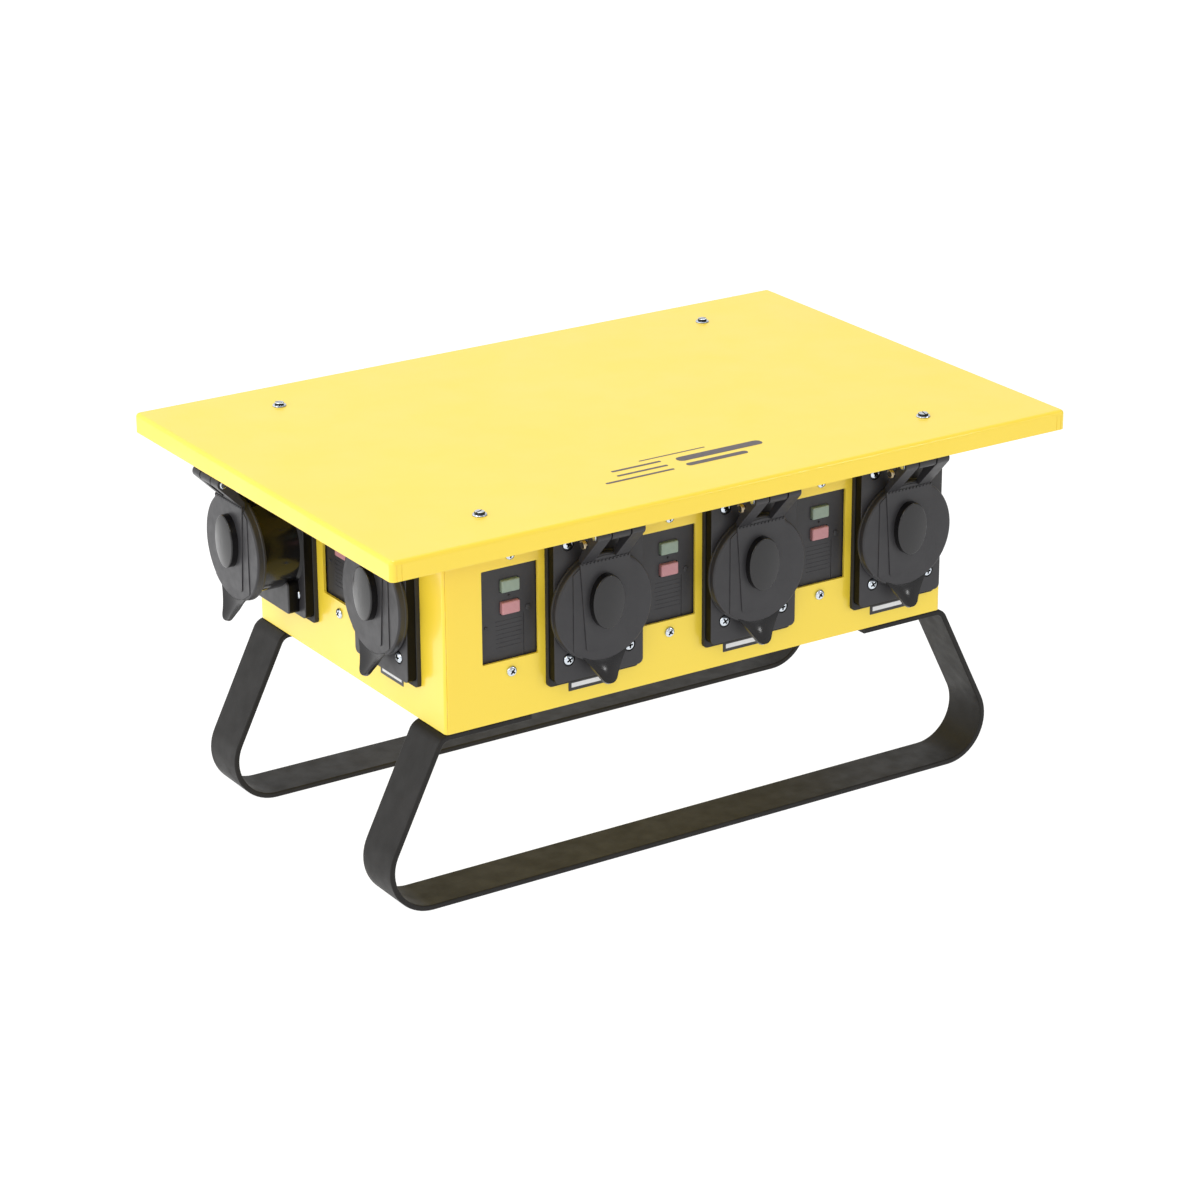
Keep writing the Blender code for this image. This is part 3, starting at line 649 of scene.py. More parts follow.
def make_roof():
    """Folded pan, with a fine seam down both sides of each corner."""
    low, high = in_mm("roof_cover")
    length, depth = high.x - low.x, high.y - low.y
    pan = slab(length, depth, ROOF_CORNER, low.z, high.z, ROOF_BEND, steps=6)
    inside = slab(
        length - 2 * SHEET, depth - 2 * SHEET, ROOF_CORNER - SHEET, low.z - 5, high.z - SHEET,
        ROOF_BEND - SHEET, steps=6,
    )
    pan = cut(pan, inside)
    seams = []
    for side_x, side_y in CORNERS:
        for inset in ROOF_SEAM_INSETS:
            spot = (side_x * (length / 2 - ROOF_CORNER - inset), side_y * depth / 2)
            seams.append(corner_seam(spot, ROOF_SEAM, low.z - 1, high.z - ROOF_BEND))
    holes = roof_screw_holes(low.z, high.z + 1, 32)
    add("roof_sheet", cut(pan, *seams, *holes), "yellow_paint", replaces=["roof_cover"])


def corner_seam(spot, half, low, high):
    """Narrow upright groove, given by half its width and half its depth."""
    (x, y), (wide, deep) = spot, half
    return block((x - wide, y - deep, low), (x + wide, y + deep, high))


def roof_screw_holes(low, high, sides):
    profile = [(ROOF_SCREW_HOLE, low), (ROOF_SCREW_HOLE, high)]
    return [turned(profile, sides, middle_of(node).xy) for node in ROOF_SCREWS]


def make_housing():
    """Four folded walls with their openings, and the lips that the roof is screwed to."""
    low, high = in_mm("housing")
    length, depth, top = 2 * WALL.x, 2 * WALL.y, high.z
    walls = pull(rounded_rectangle(length, depth, BOX_CORNER, steps=8), low.z, top)
    inner_length, inner_depth = length - 2 * SHEET, depth - 2 * SHEET
    inside = rounded_rectangle(inner_length, inner_depth, BOX_CORNER - SHEET)
    walls = cut(walls, pull(inside, low.z - SHEET, top - SHEET))
    mouth = rectangle(inner_length - 2 * TOP_LIP, inner_depth)
    walls = cut(walls, pull(mouth, top - 2 * SHEET, top + SHEET))
    lip_half = length / 2 - 4 * SHEET
    for side in (-1, 1):
        near, far = side * (depth / 2 - SHEET / 2), side * (depth / 2 + TOP_LIP)
        lip = block((-lip_half, min(near, far), top - SHEET), (lip_half, max(near, far), top))
        walls = joined(walls, lip)
    deep = 5 * SHEET
    round_hole = turned([(WALL_HOLE, -deep), (WALL_HOLE, deep)], 48, WELL)
    opening = rounded_rectangle(*MODULE_OPENING, 0.8, (MODULE_OPENING_RIGHT, 0), 3)
    opening = pull(opening, -deep, deep)
    holes = [moved(round_hole, place) for place in [*OUTLETS.values(), INLET]]
    holes += [moved(opening, place) for place in MODULES.values()]
    holes.append(moved(pull(rounded_rectangle(*WINDOW_OPENING, 1), -deep, deep), WINDOW))
    holes += roof_screw_holes(top - 6, top + 2, 24)
    for side_x, side_y in CORNERS:
        spot = (side_x * (length / 2 - HOUSING_SEAM_INSET), side_y * depth / 2)
        holes.append(corner_seam(spot, HOUSING_SEAM, low.z - 1, top - 3 * SHEET))
    add("housing_sheet", cut(walls, *holes), "yellow_paint", replaces=["housing"])


def bent_path(corners, bends, steps):
    """Points and outward directions along a path whose corners are bent to a radius."""
    path = []
    for i, corner in enumerate(corners):
        here = Vector(corner)
        if not bends[i]:
            other = corners[1] if i == 0 else corners[-2]
            way = (Vector(other) - here).normalized() * (1 if i == 0 else -1)
            path.append((here, Vector((way.y, -way.x))))
            continue
        into = (here - Vector(corners[i - 1])).normalized()
        onward = (Vector(corners[i + 1]) - here).normalized()
        turn = into.angle_signed(onward)
        reach = bends[i] * math.tan(abs(turn) / 2)
        side = Vector((into.y, -into.x)) * math.copysign(1, turn)
        centre = here - into * reach + side * bends[i]
        for step in range(steps + 1):
            arm = -side
            arm.rotate(Matrix.Rotation(-turn * step / steps, 2))
            path.append((centre + arm * bends[i], arm * math.copysign(1, -turn)))
    return path


def make_legs():
    """Flat bars with rolled edges, bent to a loop, and the bolts that hold their flanges."""
    bar_low, bar_high = in_mm("leg_front")
    top, foot = bar_high.z - LEG_BAR / 2, bar_low.z + LEG_BAR / 2
    foot_corner = LEG_TOP_CORNER + (top - foot) * math.tan(LEG_LEAN)
    half = [(LEG_FLANGE_END, top), (LEG_TOP_CORNER, top), (foot_corner, foot)]
    bends = [0, LEG_TOP_BEND, LEG_FOOT_BEND]
    path = bent_path(half + [(-x, z) for x, z in half[::-1]], bends + bends[::-1], 20)
    section = rounded_rectangle(LEG_BAR, bar_high.y - bar_low.y, 1.1, steps=4)
    for name in ("leg_front", "leg_rear"):
        middle = middle_of(name).y
        rings = []
        for point, across in path:
            spots = [(point + across * t, middle + along) for t, along in section]
            rings.append([(spot.x, y, spot.y) for spot, y in spots])
        add(name.replace("leg", "leg_bar"), solid(rings), "black_powder_coat", replaces=[name])
        make_leg_bolts(name, middle, bar_high.z - LEG_BAR)


def make_leg_bolts(name, middle, under):
    """Flanged hex heads below the leg's two flanges, two in each."""
    flange = turned([(6.6, 0), (6.8, -0.4), (6.4, -1.2), (5.6, -1.6)], 40)
    head = softened(turned([(5.4, -1.4), (5.4, -5.2)], 6), 0.4)
    bolt = together(flange, head)
    for i, x in enumerate(LEG_BOLTS):
        place = Matrix.Translation((x, middle, under - 0.05))
        add(f"{name}_bolt_{i + 1}", bolt, "zinc_plate", place)


# Screws


def phillips_head(radius, height):
    """Pan head on the plane Z = 0, with a cross recess."""
    steps = 7
    dome = [(radius, 0), (radius, 0.25 * height)]
    for i in range(1, steps):
        turn = math.pi / 2 * i / steps
        dome.append((radius * math.cos(turn) ** 0.6, height * (0.25 + 0.75 * math.sin(turn))))
    head = turned(dome, 40)
    wing, narrow, deep = 0.62 * radius, 0.34 * radius, 0.2 * radius
    arms = [
        solid([rect_ring(2 * wing, narrow, height + 0.1), rect_ring(0.5 * wing, deep, 0.1)]),
        solid([rect_ring(narrow, 2 * wing, height + 0.1), rect_ring(deep, 0.5 * wing, 0.1)]),
    ]
    return cut(head, *arms)


def painted_recess_shade(face):
    """Material of a Phillips head, with painted shade on the walls of its recess."""
    inside = face.normal.z < 0.75 and math.hypot(face.center.x, face.center.y) < 2.5
    return "black_shade" if inside else None


def rect_ring(width, height, level):
    return [(x, y, level) for x, y in rectangle(width, height)]


def washer_head():
    """Hex washer head with a slot, on the plane Z = 0."""
    washer = turned([(4.9, 0), (5, 0.3), (4.7, 0.9), (3.6, 1.1)], 48)
    hexagon = softened(turned([(3.7, 0.8), (3.7, 2.7)], 6), 0.35)
    return together(washer, cut(hexagon, block((-4, -0.45, 1.9), (4, 0.45, 3.5))))


def make_roof_screws():
    head, seat = washer_head(), in_mm("roof_cover")[1].z + 0.02
    for i, node in enumerate(ROOF_SCREWS):
        turn = Matrix.Rotation(0.4 + 0.9 * i, 4, "Z")
        place = Matrix.Translation((*middle_of(node).xy, seat)) @ turn
        name = node.replace("roof_screw", "roof_screw_head")
        # The sides of the washer and the hex take painted shade.
        add(name, head, "zinc_plate", place, replaces=[node], face_material=painted_shade_sides)


# Outlets


def plate_screws(name, place, head):
    for i, (side_y, side_x) in enumerate(CORNERS):
        turn = Matrix.Rotation(0.5 + 1.1 * i, 4, "Z")
        spot = (side_x * PLATE_SCREW[0], side_y * PLATE_SCREW[1], SCREW_SEAT)
        spot = place @ Matrix.Translation(spot) @ turn
        # The walls of each cross recess take painted shade.
        add(f"plate_screw_{name}_{i + 1}", head, "zinc_plate", spot, face_material=painted_recess_shade)


def knuckle_profile(hinge, rise):
    """The fixed hinge leaf, seen from the side: (out, up) points."""
    if rise:
        low = [(14, 22), (36, 22), (36.5, 36.6), (47, 38.6)]
        high = [(40, 47.5), (26, 44), (14, 34)]
        heading = 35
    else:
        low = [(8, 43), (17, 43.6), (25, 46.2)]
        high = [(26, 57), (8, 57)]
        heading = 8
    return with_eye(low, hinge, EYE_RADIUS, heading, high)


def hinge_bore(hinge, reach):
    return rod_across([(PIN_RADIUS + GAP, -reach), (PIN_RADIUS + GAP, reach)], 24, *hinge)


def arm_pair(profile, inner, outer, bore, edge):
    """Two arms of one side profile, one on each side of the middle, bored for a hinge pin."""
    spans = ((-outer, -inner), (inner, outer))
    return [softened(cut(pull(profile, *span, "ZY"), bore), edge) for span in spans]


def gasket_mesh():
    sheet = slab(*GASKET, 3, 0.05, GASKET_FACE, 0.4, steps=3)
    return cut(sheet, turned([(WELL_RADIUS, -1), (WELL_RADIUS, 5)], 64, WELL))


def plate_mesh():
    """Plate with countersunk screw places and a round well."""
    plate = slab(*PLATE, 4, GASKET_FACE, PLATE_FACE, 0.6)
    spots = [(x * PLATE_SCREW[0], y * PLATE_SCREW[1]) for x, y in CORNERS]
    sinks = [turned([(4.7, SCREW_SEAT), (4.9, PLATE_FACE + 1)], 40, spot) for spot in spots]
    well = turned([(WELL_RADIUS, 0), (WELL_RADIUS, 12)], 72, WELL)
    return cut(plate, *sinks, well)


def collar_mesh(foot, top):
    """Rim of the well, which the lid closes over."""
    collar = [(WELL_RADIUS, foot), (WELL_RADIUS, top - 0.5), (WELL_RADIUS + 0.5, top)]
    collar += [(COLLAR_RADIUS - 0.6, top), (COLLAR_RADIUS, top - 0.6), (COLLAR_RADIUS, foot)]
    return ring_of(collar)


def knuckle_mesh(hinge, rise):
    knuckle = pull(knuckle_profile(hinge, rise), -KNUCKLE_HALF, KNUCKLE_HALF, "ZY")
    return softened(cut(knuckle, hinge_bore(hinge, ARM_OUTER)), 0.7, 3)


def shroud_mesh():
    """Deep tube round the inlet with a flared foot, a step below it and the hinge knuckle."""
    high, back = PLATE_FACE + INLET_RISE, PLATE_FACE + 0.05
    inner, outer = COLLAR_RADIUS - 0.2, SHROUD_RADIUS
    shroud = [(inner, back), (inner, high), (outer - 0.6, high), (outer, high - 0.6)]
    shroud += [(outer, back + 2), (outer + 1.6, back)]
    step = slab(54, 24, 3, back, 18.5, 1.2, (0, -42.5))
    step = cut(step, turned([(COLLAR_RADIUS, 0), (COLLAR_RADIUS, 60)], 48, WELL))
    tubes = together(collar_mesh(back, COLLAR_FACE + INLET_RISE), ring_of(shroud))
    knuckle = knuckle_mesh(INLET_HINGE, INLET_RISE)
    # The sides of the step take painted shade.
    return together(marked(tubes, GLOSS, GLOSS), marked(step, PAINTED_SHADE, PLAIN), knuckle)


def ring_of(profile, sides=96):
    """Ring about the middle of the well, from a closed loop of (radius, height) pairs."""
    shape = bmesh.new()
    loops = []
    for i in range(sides):
        turn = math.tau * i / sides
        loops.append([
            shape.verts.new((WELL[0] + r * math.cos(turn), WELL[1] + r * math.sin(turn), z))
            for r, z in profile
        ])
    for i, loop in enumerate(loops):
        after = loops[(i + 1) % sides]
        for j in range(len(profile)):
            k = (j + 1) % len(profile)
            shape.faces.new((loop[j], loop[k], after[k], after[j]))
    bmesh.ops.recalc_face_normals(shape, faces=shape.faces)
    return as_mesh(shape, "ring")


def pull_tab(middle, rise, steps=24):
    """Beak that stands out from the foot of the lid to a round tip, hollowed like a scoop."""
    start, bend, tip = Vector((16.9, -32.5)), Vector((20.2, -43)), Vector((25.2, -52.6))
    rings = []
    for i in range(steps + 1):
        t = 1 - (1 - i / steps) ** 1.35
        spot = start * (1 - t) ** 2 + bend * 2 * t * (1 - t) + tip * t ** 2
        way = ((bend - start) * (1 - t) + (tip - bend) * t).normalized()
        square = Vector((-way.y, way.x))
        half = 4.6 + 13.6 * ((spot.y - tip.y) / (start.y - tip.y)) ** 1.25
        half *= math.sqrt(max(1 - max((t - 0.84) / 0.165, 0) ** 2, 0.02))
        thick = 1.5 + 0.9 * min(max((t - 0.2) / 0.25, 0), 1)
        dish = 2.6 * math.sin(math.pi * min(0.12 + 0.9 * t, 1)) ** 0.8
        outer, inner = [], []
        for j in range(17):
            x = -1 + j / 8
            face = spot - square * dish * (1 - x * x)
            back = face - square * thick
            outer.append((half * x, middle + face.y, rise + face.x))
            inner.append((half * x, middle + back.y, rise + back.x))
        rings.append(outer + inner[::-1])
    return marked(softened(solid(rings), 0.3), SATIN, SATIN)


def lid_arm(hinge, middle, rise):
    """Side profile of one hinge arm, from under the top of the strip out to the pin."""
    foot = (16.5 + rise, middle + 34)
    heading = math.degrees(math.atan2(hinge[1] - foot[1], hinge[0] - foot[0]))
    back, face = LID_HOLLOW_FACE + rise, STRIP_FACE + rise
    low = [(back, middle + 33), (face - 0.6, middle + 33), (face - 0.6, middle + 34.9)]
    high = [(back, middle + 37.6)]
    return with_eye(low, hinge, EYE_RADIUS, heading, high)


def lid_mesh(hinge, rise):
    """Round cap with a band, a tapered strip, an oval knob, a beak and two hinge arms."""
    middle = WELL[1]
    back, face = LID_BACK + rise, LID_FACE + rise
    ceiling = LID_HOLLOW_FACE + rise
    skirt = [(LID_HOLLOW_RADIUS, ceiling), (LID_HOLLOW_RADIUS, back), (LID_RADIUS - 0.3, back)]
    skirt += [(LID_RADIUS, back + 0.5), (LID_RADIUS, back + 1.6), (LID_RADIUS - 0.35, back + 2)]
    rim = arc((LID_RADIUS - LID_EDGE - 0.35, face - LID_EDGE), LID_EDGE, 0, 90, 8)
    cap = turned(skirt + rim, 112, WELL)
    radius = LID_RADIUS - 2
    swing = math.degrees(math.acos(BAND_HALF / radius))
    outline = arc(WELL, radius, swing, 180 - swing, 28)
    outline += arc(WELL, radius, 180 + swing, 360 - swing, 28)
    band = softened(pull(outline, face - 1, BAND_FACE + rise), 0.25)
    left_side = [(-19.9, 34.6), (-15.2, -27.5), (-13.8, -28.9)]
    strip = left_side + [(-x, y) for x, y in left_side[::-1]]
    strip = pull([(x, middle + y) for x, y in strip], face - 1, STRIP_FACE + rise)
    notches = [
        block((x - 0.6, middle + 33.5, face - 0.3), (x + 0.6, middle + 35, STRIP_FACE + rise + 1))
        for x in range(-18, 19, 3)
    ]
    strip = softened(cut(strip, *notches), 0.18)
    bore = hinge_bore(hinge, ARM_OUTER + 2)
    arms = arm_pair(lid_arm(hinge, middle, rise), ARM_INNER, ARM_OUTER, bore, 0.4)
    if not rise:
        peg = [(2, -ARM_OUTER - 2.9), (2, 1 - ARM_OUTER)]
        arms.append(rod_across(peg, 24, *SPRING_PLACE))
    return together(cap, band, strip, knob_mesh(middle, rise), pull_tab(middle, rise), *arms)


def knob_mesh(middle, rise):
    """Oval knob: steep glossy sides, a round edge and a domed face."""
    base = BAND_FACE + rise - 1.5
    top = KNOB_FACE + rise
    draft, edge, dome = 0.25, 1.2, 1.3
    levels = [(0, base), (draft, top - edge - dome)]
    for i in range(1, 7):
        turn = math.pi / 2 * i / 7
        inset, drop = draft + edge * (1 - math.cos(turn)), edge * (1 - math.sin(turn))
        levels.append((inset, top - dome - drop))
    rings = []
    for inset, level in levels:
        outline = oval(KNOB[0] - 2 * inset, KNOB[1] - 2 * inset, 72, (0, middle + KNOB_RISE))
        rings.append([(x, y, level) for x, y in outline])
    for share in (0.85, 0.7, 0.5, 0.3, 0.12):
        size = [side - 2 * (draft + edge) for side in KNOB]
        outline = oval(size[0] * share, size[1] * share, 72, (0, middle + KNOB_RISE))
        rings.append([(x, y, top - dome * share ** 2) for x, y in outline])
    return marked(solid(rings), GLOSS, SATIN)


def hinge_pin(hinge, radius, reach, head_radius):
    """Pin with a rounded head at each end."""
    head = [(head_radius, reach), (head_radius, reach + 0.5), (0.7 * head_radius, reach + 1)]
    profile = [(r, -x) for r, x in head[::-1]] + [(radius, -reach), (radius, reach)] + head
    return rod_across(profile, 32, *hinge)


def spring_mesh():
    """Short coil beside the left arm of a lid, round a peg of the arm."""
    turns, radius, wire, sides, steps = 2.4, 2.7, 0.42, 8, 48
    out, up = SPRING_PLACE
    path = []
    for i in range(steps + 1):
        turn = math.tau * turns * i / steps
        x = -ARM_OUTER - 0.5 - 2.1 * i / steps
        path.append(Vector((x, up + radius * math.sin(turn), out + radius * math.cos(turn))))
    rings = []
    across = Vector((1, 0, 0))
    for i, point in enumerate(path):
        way = (path[min(i + 1, steps)] - path[max(i - 1, 0)]).normalized()
        across = across_from(way, across)
        other = way.cross(across)
        rings.append([
            point + across * wire * math.cos(a) + other * wire * math.sin(a)
            for a in (math.tau * k / sides for k in range(sides))
        ])
    return solid(rings)


def across_from(way, last):
    """The direction nearest to last that is square to way."""
    return (last - way * last.dot(way)).normalized()


def insert_body(back, face):
    rim = arc((INSERT_RADIUS - 1, face - 1), 1, 0, 90, 4)
    return turned([(INSERT_RADIUS, back), *rim], 72, WELL)


def straight_blade_receptacle():
    """Insulator with two blade slots, one of them T-shaped, and a ground hole."""
    middle = WELL[1]
    left, right = (pull(rectangle(2.4, 9, (x, middle + BLADE_UP)), -5, 12) for x in BLADES)
    cross = pull(rectangle(4.6, 2.4, (-7.5, middle + BLADE_UP)), -5, 12)
    ground = arc((0, middle - 7.5), 2.8, 180, 360, 16)
    ground += [(2.8, middle - 5.6), (-2.8, middle - 5.6)]
    dish = turned([(19.5, 7.2), (20, 9)], 64, WELL)
    ring = turned([(16.5, 5.5), (16.5, 7.6), (16.1, 8)], 64, WELL)
    body = joined(cut(insert_body(-32, 8), dish), ring)
    return cut(body, joined(left, cross), right, pull(ground, -5, 12))


def blade_contacts():
    """Brass leaves at the bottom of the blade slots, two in each."""
    low, high = BLADE_UP - WELL_DROP - 3.4, BLADE_UP - WELL_DROP + 3.4
    lefts = [x + offset for offset in (-0.95, 0.35) for x in BLADES]
    return together(*[block((left, low, -4), (left + 0.6, high, 5)) for left in lefts])


def twist_lock_outlines(width):
    """Three curved blades and a narrower ground blade round a twist-lock connector."""
    return [ring_slot(16, width, start, end, WELL) for start, end in TWIST_BLADES]


def twist_lock_receptacle():
    groove = ring_of([(21, 7), (21, 9), (22.4, 9), (22.4, 7)])
    slots = [pull(outline, -8, 12) for outline in twist_lock_outlines(2.6)]
    return cut(insert_body(-34, 8), groove, *slots)


def make_cover_plates():
    gasket, head = gasket_mesh(), phillips_head(3.9, 2.2)
    collar, knuckle = collar_mesh(GASKET_FACE, COLLAR_FACE), knuckle_mesh(OUTLET_HINGE, 0)
    plate = together(plate_mesh(), collar, knuckle)
    for name, place in [*OUTLETS.items(), ("inlet", INLET)]:
        add(f"gasket_{name}", gasket, "gasket_rubber", place)
        plate_screws(name, place, head)
        if name == "inlet":
            plate = plate_mesh()
        # The plate's narrow sides take painted shade.
        add(f"outlet_plate_{name}", plate, "black_plastic", place,
            replaces=[f"cover_plate_{name}"], face_material=painted_shade_sides)
    add("shroud_inlet", shroud_mesh(), "black_plastic", INLET, replaces=["inlet_shroud"],
        face_material=as_marked)


def make_lids():
    lid, spring = lid_mesh(OUTLET_HINGE, 0), spring_mesh()
    pin = hinge_pin(OUTLET_HINGE, PIN_RADIUS, ARM_OUTER + GAP, 2.8)
    for name, place in OUTLETS.items():
        body = lid_body(name)
        add(f"lid_{name}", lid, "black_plastic", place, body, [f"flip_lid_{name}"], as_marked)
        add(f"lid_spring_{name}", spring, "brass", place, body)
        add(f"lid_pin_{name}", pin, "zinc_plate", place, replaces=[f"hinge_pin_{name}"])
    lid = lid_mesh(INLET_HINGE, INLET_RISE)
    pin = hinge_pin(INLET_HINGE, PIN_RADIUS, ARM_OUTER + GAP, 2.8)
    add("lid_inlet", lid, "black_plastic", INLET, lid_body("inlet"), ["flip_lid_inlet"], as_marked)
    add("lid_pin_inlet", pin, "zinc_plate", INLET, replaces=["hinge_pin_inlet"])


def make_receptacles():
    insert, contacts = straight_blade_receptacle(), blade_contacts()
    for name, place in STRAIGHT_OUTLETS.items():
        add(f"outlet_insert_{name}", insert, "grey_plastic", place,
            replaces=[f"receptacle_{name}"])
        add(f"contacts_{name}", contacts, "brass", place)
    feed = OUTLETS["feed_outlet"]
    add("outlet_insert_feed_outlet", twist_lock_receptacle(), "grey_plastic", feed,
        replaces=["receptacle_feed_outlet"])
    body = softened(insert_body(-30, 14), 0.4)
    add("inlet_insert", body, "grey_plastic", INLET, replaces=["power_inlet"])
    blades = [softened(pull(outline, 10, 36), 0.35) for outline in twist_lock_outlines(2.4)]
    add("inlet_blades", together(*blades), "brass", INLET)


# Ground-fault modules


def module_mesh():
    """Moulded face with two button wells, ribs, a panel line and three small pins."""
    width, height = (size + 2 * MODULE_LAP for size in MODULE_OPENING)
    body = slab(width, height, 1.2, -38, MODULE_FACE, 0.6, steps=3)
    tools = []
    for up in BUTTON_HEIGHTS.values():
        well = rounded_rectangle(BUTTON[0] + 0.8, BUTTON[1] + 0.8, 0.9, (BUTTON_RIGHT, up), 3)
        tools.append(pull(well, -16, 0))
    tools.append(block((11.7, -33, MODULE_FACE - 0.5), (12.1, -3, 0)))
    for i in range(7):
        up = -5.4 - 3.1 * i
        tools.append(block((-10, up - 0.4, MODULE_FACE - 0.2), (11, up + 0.4, 0)))
    body = cut(body, *tools)
    pins = []
    for x, y, radius in ((15.5, 0.5, 2), (-17.5, -8.5, 1.2), (BUTTON_RIGHT, 11.4, 0.8)):
        top = MODULE_FACE + 0.9
        profile = [(radius, MODULE_FACE - 1), (radius, top - 0.4), (0.6 * radius, top)]
        pins.append(turned(profile, 24, (x, y)))
    return together(body, softened(slab(30, 98, 3, -9, -7.4, 0.3), 0.2), *pins)


def button_mesh(up):
    centre = (BUTTON_RIGHT, up)
    body = slab(*BUTTON, 1.1, -12, -0.3, 1.1, centre)
    dish = turned([(9, 0.6), (1, -0.55)], 48)
    dish.transform(Matrix.Translation((*centre, 0)) @ Matrix.Diagonal((0.66, 0.4, 1, 1)))
    return cut(body, dish)


def make_modules():
    body, screw = module_mesh(), phillips_head(3.8, 2.1)
    for name, place in MODULES.items():
        add(f"fault_module_{name}", body, "black_plastic", place,
            replaces=[f"ground_fault_module_{name}"])
        for side, ending in ENDINGS:
            turn = Matrix.Rotation(0.3 + side, 4, "Z")
            spot = place @ Matrix.Translation((0, side * MODULE_SCREW, 0.02)) @ turn
            # The walls of each cross recess take painted shade.
            add(f"module_screw_{name}_{ending}", screw, "zinc_plate", spot, face_material=painted_recess_shade)
    for colour, up in BUTTON_HEIGHTS.items():
        button = button_mesh(up)
        for name, place in MODULES.items():
            node = f"{colour}_button_{name}"
            add(f"{colour}_cap_{name}", button, f"{colour}_button", place, node, [node])


# Labels and marks, all of them plain bars


def make_labels():
    """A small black label with one white bar under each outlet, and plain bars on the roof."""
    film = slab(31, 7.4, 0.6, 0.02, 0.16, 0.04, (-3.1, -65.5), 3)
    bar = slab(26, 3.2, 0.4, 0.1, 0.19, 0.02, (-3.1, -65.3), 3)
    for name, place in STRAIGHT_OUTLETS.items():
        add(f"label_{name}", film, "label_film", place)
        add(f"label_bar_{name}", bar, "white_ink", place)
    place = Matrix.Translation((0, 0, in_mm("roof_cover")[1].z))
    bars = [slab(w, h, 0.45 * h, 0.02, 0.1, 0.02, (x, y), 3) for w, h, x, y in ROOF_BARS]
    add("roof_marks", together(*bars), "grey_ink", place)


# Breaker window


def make_window():
    out, up = DOOR_HINGE
    ring = slab(*WINDOW_FRAME, 5, 0.05, WINDOW_FRAME_FACE, 1.4)
    opening = pull(rounded_rectangle(*WINDOW_OPENING, 2), -1, 12)
    rebate = rounded_rectangle(*(side + 1.2 for side in DOOR), 2.6)
    ring = cut(ring, opening, pull(rebate, WINDOW_FRAME_FACE - 0.7, 12))
    corners = [(x * WINDOW_SCREW[0], y * WINDOW_SCREW[1]) for x, y in CORNERS]
    ring = cut(ring, *[turned([(2.6, 6.6), (2.8, 9)], 32, spot) for spot in corners])
    root = [(4, up - 4), (9, up - 4)]
    ear = with_eye(root, DOOR_HINGE, DOOR_EYE, 10, [(4, up + 4.5)])
    bore = rod_across([(DOOR_PIN + GAP, -70), (DOOR_PIN + GAP, 70)], 20, out, up)
    ears = arm_pair(ear, DOOR_BARREL_HALF + 2 * GAP, DOOR_EAR_OUTER, bore, 0.35)
    add("window_surround", together(ring, *ears), "black_plastic", WINDOW,
        replaces=["breaker_window_frame"])
    head = phillips_head(2.3, 1.3)
    for i, (x, y) in enumerate(corners):
        spot = Matrix.Translation((x, y, 6.6)) @ Matrix.Rotation(0.3 + 0.8 * i, 4, "Z")
        add(f"window_screw_{i + 1}", head, "zinc_plate", WINDOW @ spot)
    pin = hinge_pin(DOOR_HINGE, DOOR_PIN, DOOR_EAR_OUTER + GAP, 2.2)
    add("window_pin", pin, "zinc_plate", WINDOW, replaces=["breaker_window_pin"])
    make_window_door(bore)


def make_window_door(bore):
    """Clear door with a hinge barrel and a finger lift."""
    half = DOOR_BARREL_HALF - GAP
    panel = pull(rounded_rectangle(*DOOR, 2), DOOR_BACK, DOOR_FACE)
    roots = [(DOOR_BACK, 30), (DOOR_FACE, 30)]
    barrel = with_eye(roots, DOOR_HINGE, DOOR_EYE, 70, [(DOOR_BACK, 34)])
    lift = [(DOOR_BACK, -30), (DOOR_FACE, -30), (15, -35), (12, -36)]
    pieces = [pull(barrel, -half, half, "ZY"), pull(lift, -14, 14, "ZY")]
    door = cut(joined(panel, *pieces), bore)
    add("window_door_panel", softened(door, 0.3), "clear_plastic", WINDOW, "window_door",
        ["breaker_window_door"])


def make_breakers():
    """Moulded cases with a raised nose, a toggle slot and a terminal screw at each end."""
    body = softened(slab(25, 76, 1, -66, -10, 0.6, steps=3), 0.2)
    nose = slab(24, 36, 1.2, -12, -5, 0.8, steps=4)
    slot = pull(rounded_rectangle(7.2, 25, 1), TOGGLE_PIVOT - 4.4, 0)
    case = together(cut(body, slot), cut(nose, slot))
    screw = phillips_head(3, 1.6)
    heading = math.degrees(TOGGLE_TILT)
    way = Vector((math.cos(TOGGLE_TILT), math.sin(TOGGLE_TILT)))
    side = Vector((-way.y, way.x))
    tip = Vector((TOGGLE_PIVOT, 0)) + way * TOGGLE_REACH
    outline = [tuple(tip - side * 1.9), tuple(tip + side * 1.9)]
    outline += arc((TOGGLE_PIVOT, 0), 3.4, heading + 60, heading + 300, 20)
    lever = softened(pull(outline, -TOGGLE_HALF_WIDTH, TOGGLE_HALF_WIDTH, "ZY"), 0.6, 3)
    dot = turned([(1.5, -5.02), (1.5, -4.9)], 24, (8.6, 12))
    for n in range(1, 5):
        place = on_wall("rear", f"circuit_breaker_{n}")
        add(f"breaker_case_{n}", case, "black_plastic", place, replaces=[f"circuit_breaker_{n}"])
        add(f"breaker_lever_{n}", lever, "toggle_plastic", place, f"toggle_{n}",
            [f"breaker_toggle_{n}"])
        add(f"breaker_dot_{n}", dot, "white_ink", place)
        for side, ending in ENDINGS:
            turn = Matrix.Rotation(0.4 * n, 4, "Z")
            spot = place @ Matrix.Translation((0, side * 28, -10)) @ turn
            add(f"terminal_screw_{n}_{ending}", screw, "zinc_plate", spot)


def finish_plain_nodes():
    """Pieces inside the box keep their CAD shape and take a full material."""
    slots = {part["node"]: part["material_slot"] for part in frame["record"]["subparts"]}
    for name in ("base_panel", "breaker_rail", "terminal_block", "ground_bar"):
        node = frame["nodes"][name]
        node.data.materials.clear()
        node.data.materials.append(MATERIALS[slots[name]])


# Camera, light and floor


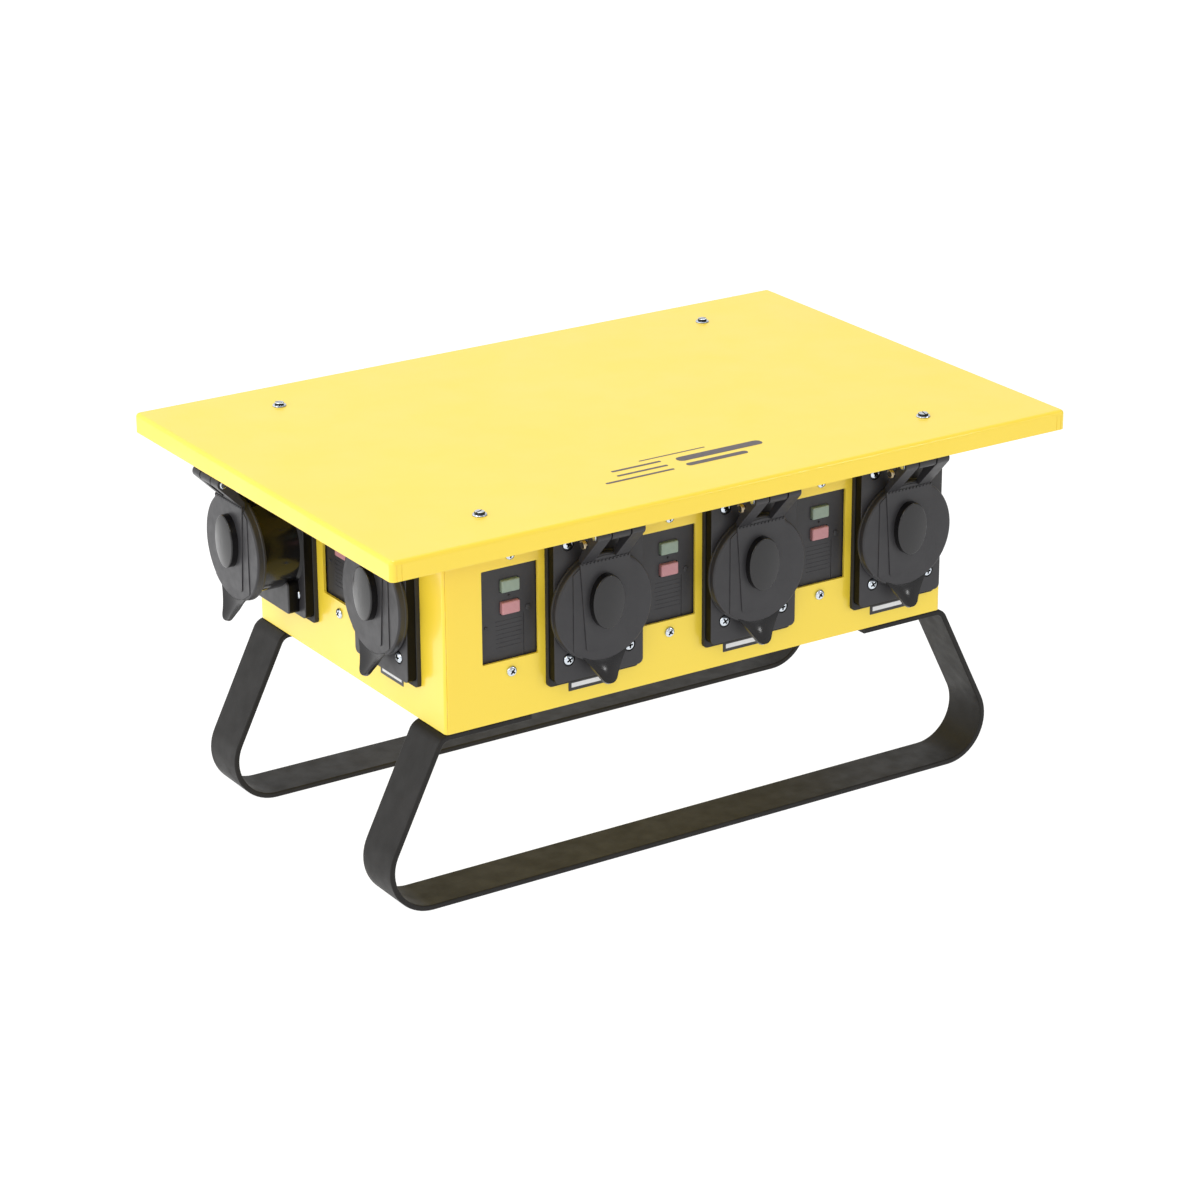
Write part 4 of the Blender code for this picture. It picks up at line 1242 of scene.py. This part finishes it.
def make_camera():
    camera = in_scene("camera", bpy.data.cameras.new("camera"))
    tilt, roll, turn = CAMERA_TURN
    level = Matrix.Rotation(turn, 4, "Z") @ Matrix.Rotation(tilt, 4, "X")
    aim = level @ Matrix.Rotation(roll, 4, "Z")
    camera.matrix_world = Matrix.Translation(CAMERA_PLACE) @ aim
    camera.data.lens = CAMERA_LENS
    camera.data.clip_end = 50
    bpy.context.scene.camera = camera


def add_light(name, place, size, power, aim=(0, 0, 0.15)):
    light = bpy.data.lights.new(name, "AREA")
    light.shape = "DISK"
    light.size = size
    light.energy = power
    lamp = in_scene(name, light)
    lamp.location = place
    lamp.rotation_mode = "QUATERNION"
    lamp.rotation_quaternion = (Vector(aim) - Vector(place)).to_track_quat("-Z", "Y")


def make_sky():
    """White surroundings, brighter to the left and the rear than to the right and the front."""
    world = bpy.data.worlds.new("studio")
    bpy.context.scene.world = world
    world.use_nodes = True
    nodes, links = world.node_tree.nodes, world.node_tree.links
    toward = nodes.new("ShaderNodeVectorMath")
    toward.operation = "DOT_PRODUCT"
    toward.inputs[1].default_value = (-0.34, 0.24, 0.06)
    links.new(nodes.new("ShaderNodeTexCoord").outputs["Generated"], toward.inputs[0])
    level = nodes.new("ShaderNodeMath")
    level.inputs[1].default_value = 0.82
    links.new(toward.outputs["Value"], level.inputs[0])
    links.new(level.outputs[0], nodes["Background"].inputs["Strength"])
    nodes["Background"].inputs["Color"].default_value = (1, 1, 1, 1)


def make_studio():
    """Soft lamps, one of them lying on the floor to the rear left, and a bright white floor."""
    make_sky()
    add_light("key", (-2.4, -0.5, 1.2), 0.9, 11)
    add_light("top", (0.0, 0.5, 2.6), 1.4, 17.5)
    add_light("low_left", (-0.58, 0.46, 0.002), 0.74, 0.8, aim=(-0.58, 0.46, 1))
    add_light("front_left", (-1.5, -2.3, 1.5), 0.45, 6.2)
    add_light("front_right", (1.6, -2.2, 1.2), 0.45, 6.2)
    floor = in_scene("floor", bpy.data.meshes.new("floor"))
    reach = 25.0
    corners = [(-reach, -reach, 0), (reach, -reach, 0), (reach, reach, 0), (-reach, reach, 0)]
    floor.data.from_pydata(corners, [], [(0, 1, 2, 3)])
    glow = {"Emission_Color": (1, 1, 1, 1), "Emission_Strength": 1.0}
    paper = Surface("paper", (0.1, 0.1, 0.1), 0.8, **glow)
    paper.bump(3, 0.01)
    floor.data.materials.append(paper.material)
    bpy.context.scene.view_settings.view_transform = "Standard"


make_camera()
make_studio()
make_roof()
make_housing()
make_legs()
make_roof_screws()
make_cover_plates()
make_lids()
make_receptacles()
make_modules()
make_labels()
make_window()
make_breakers()
finish_plain_nodes()
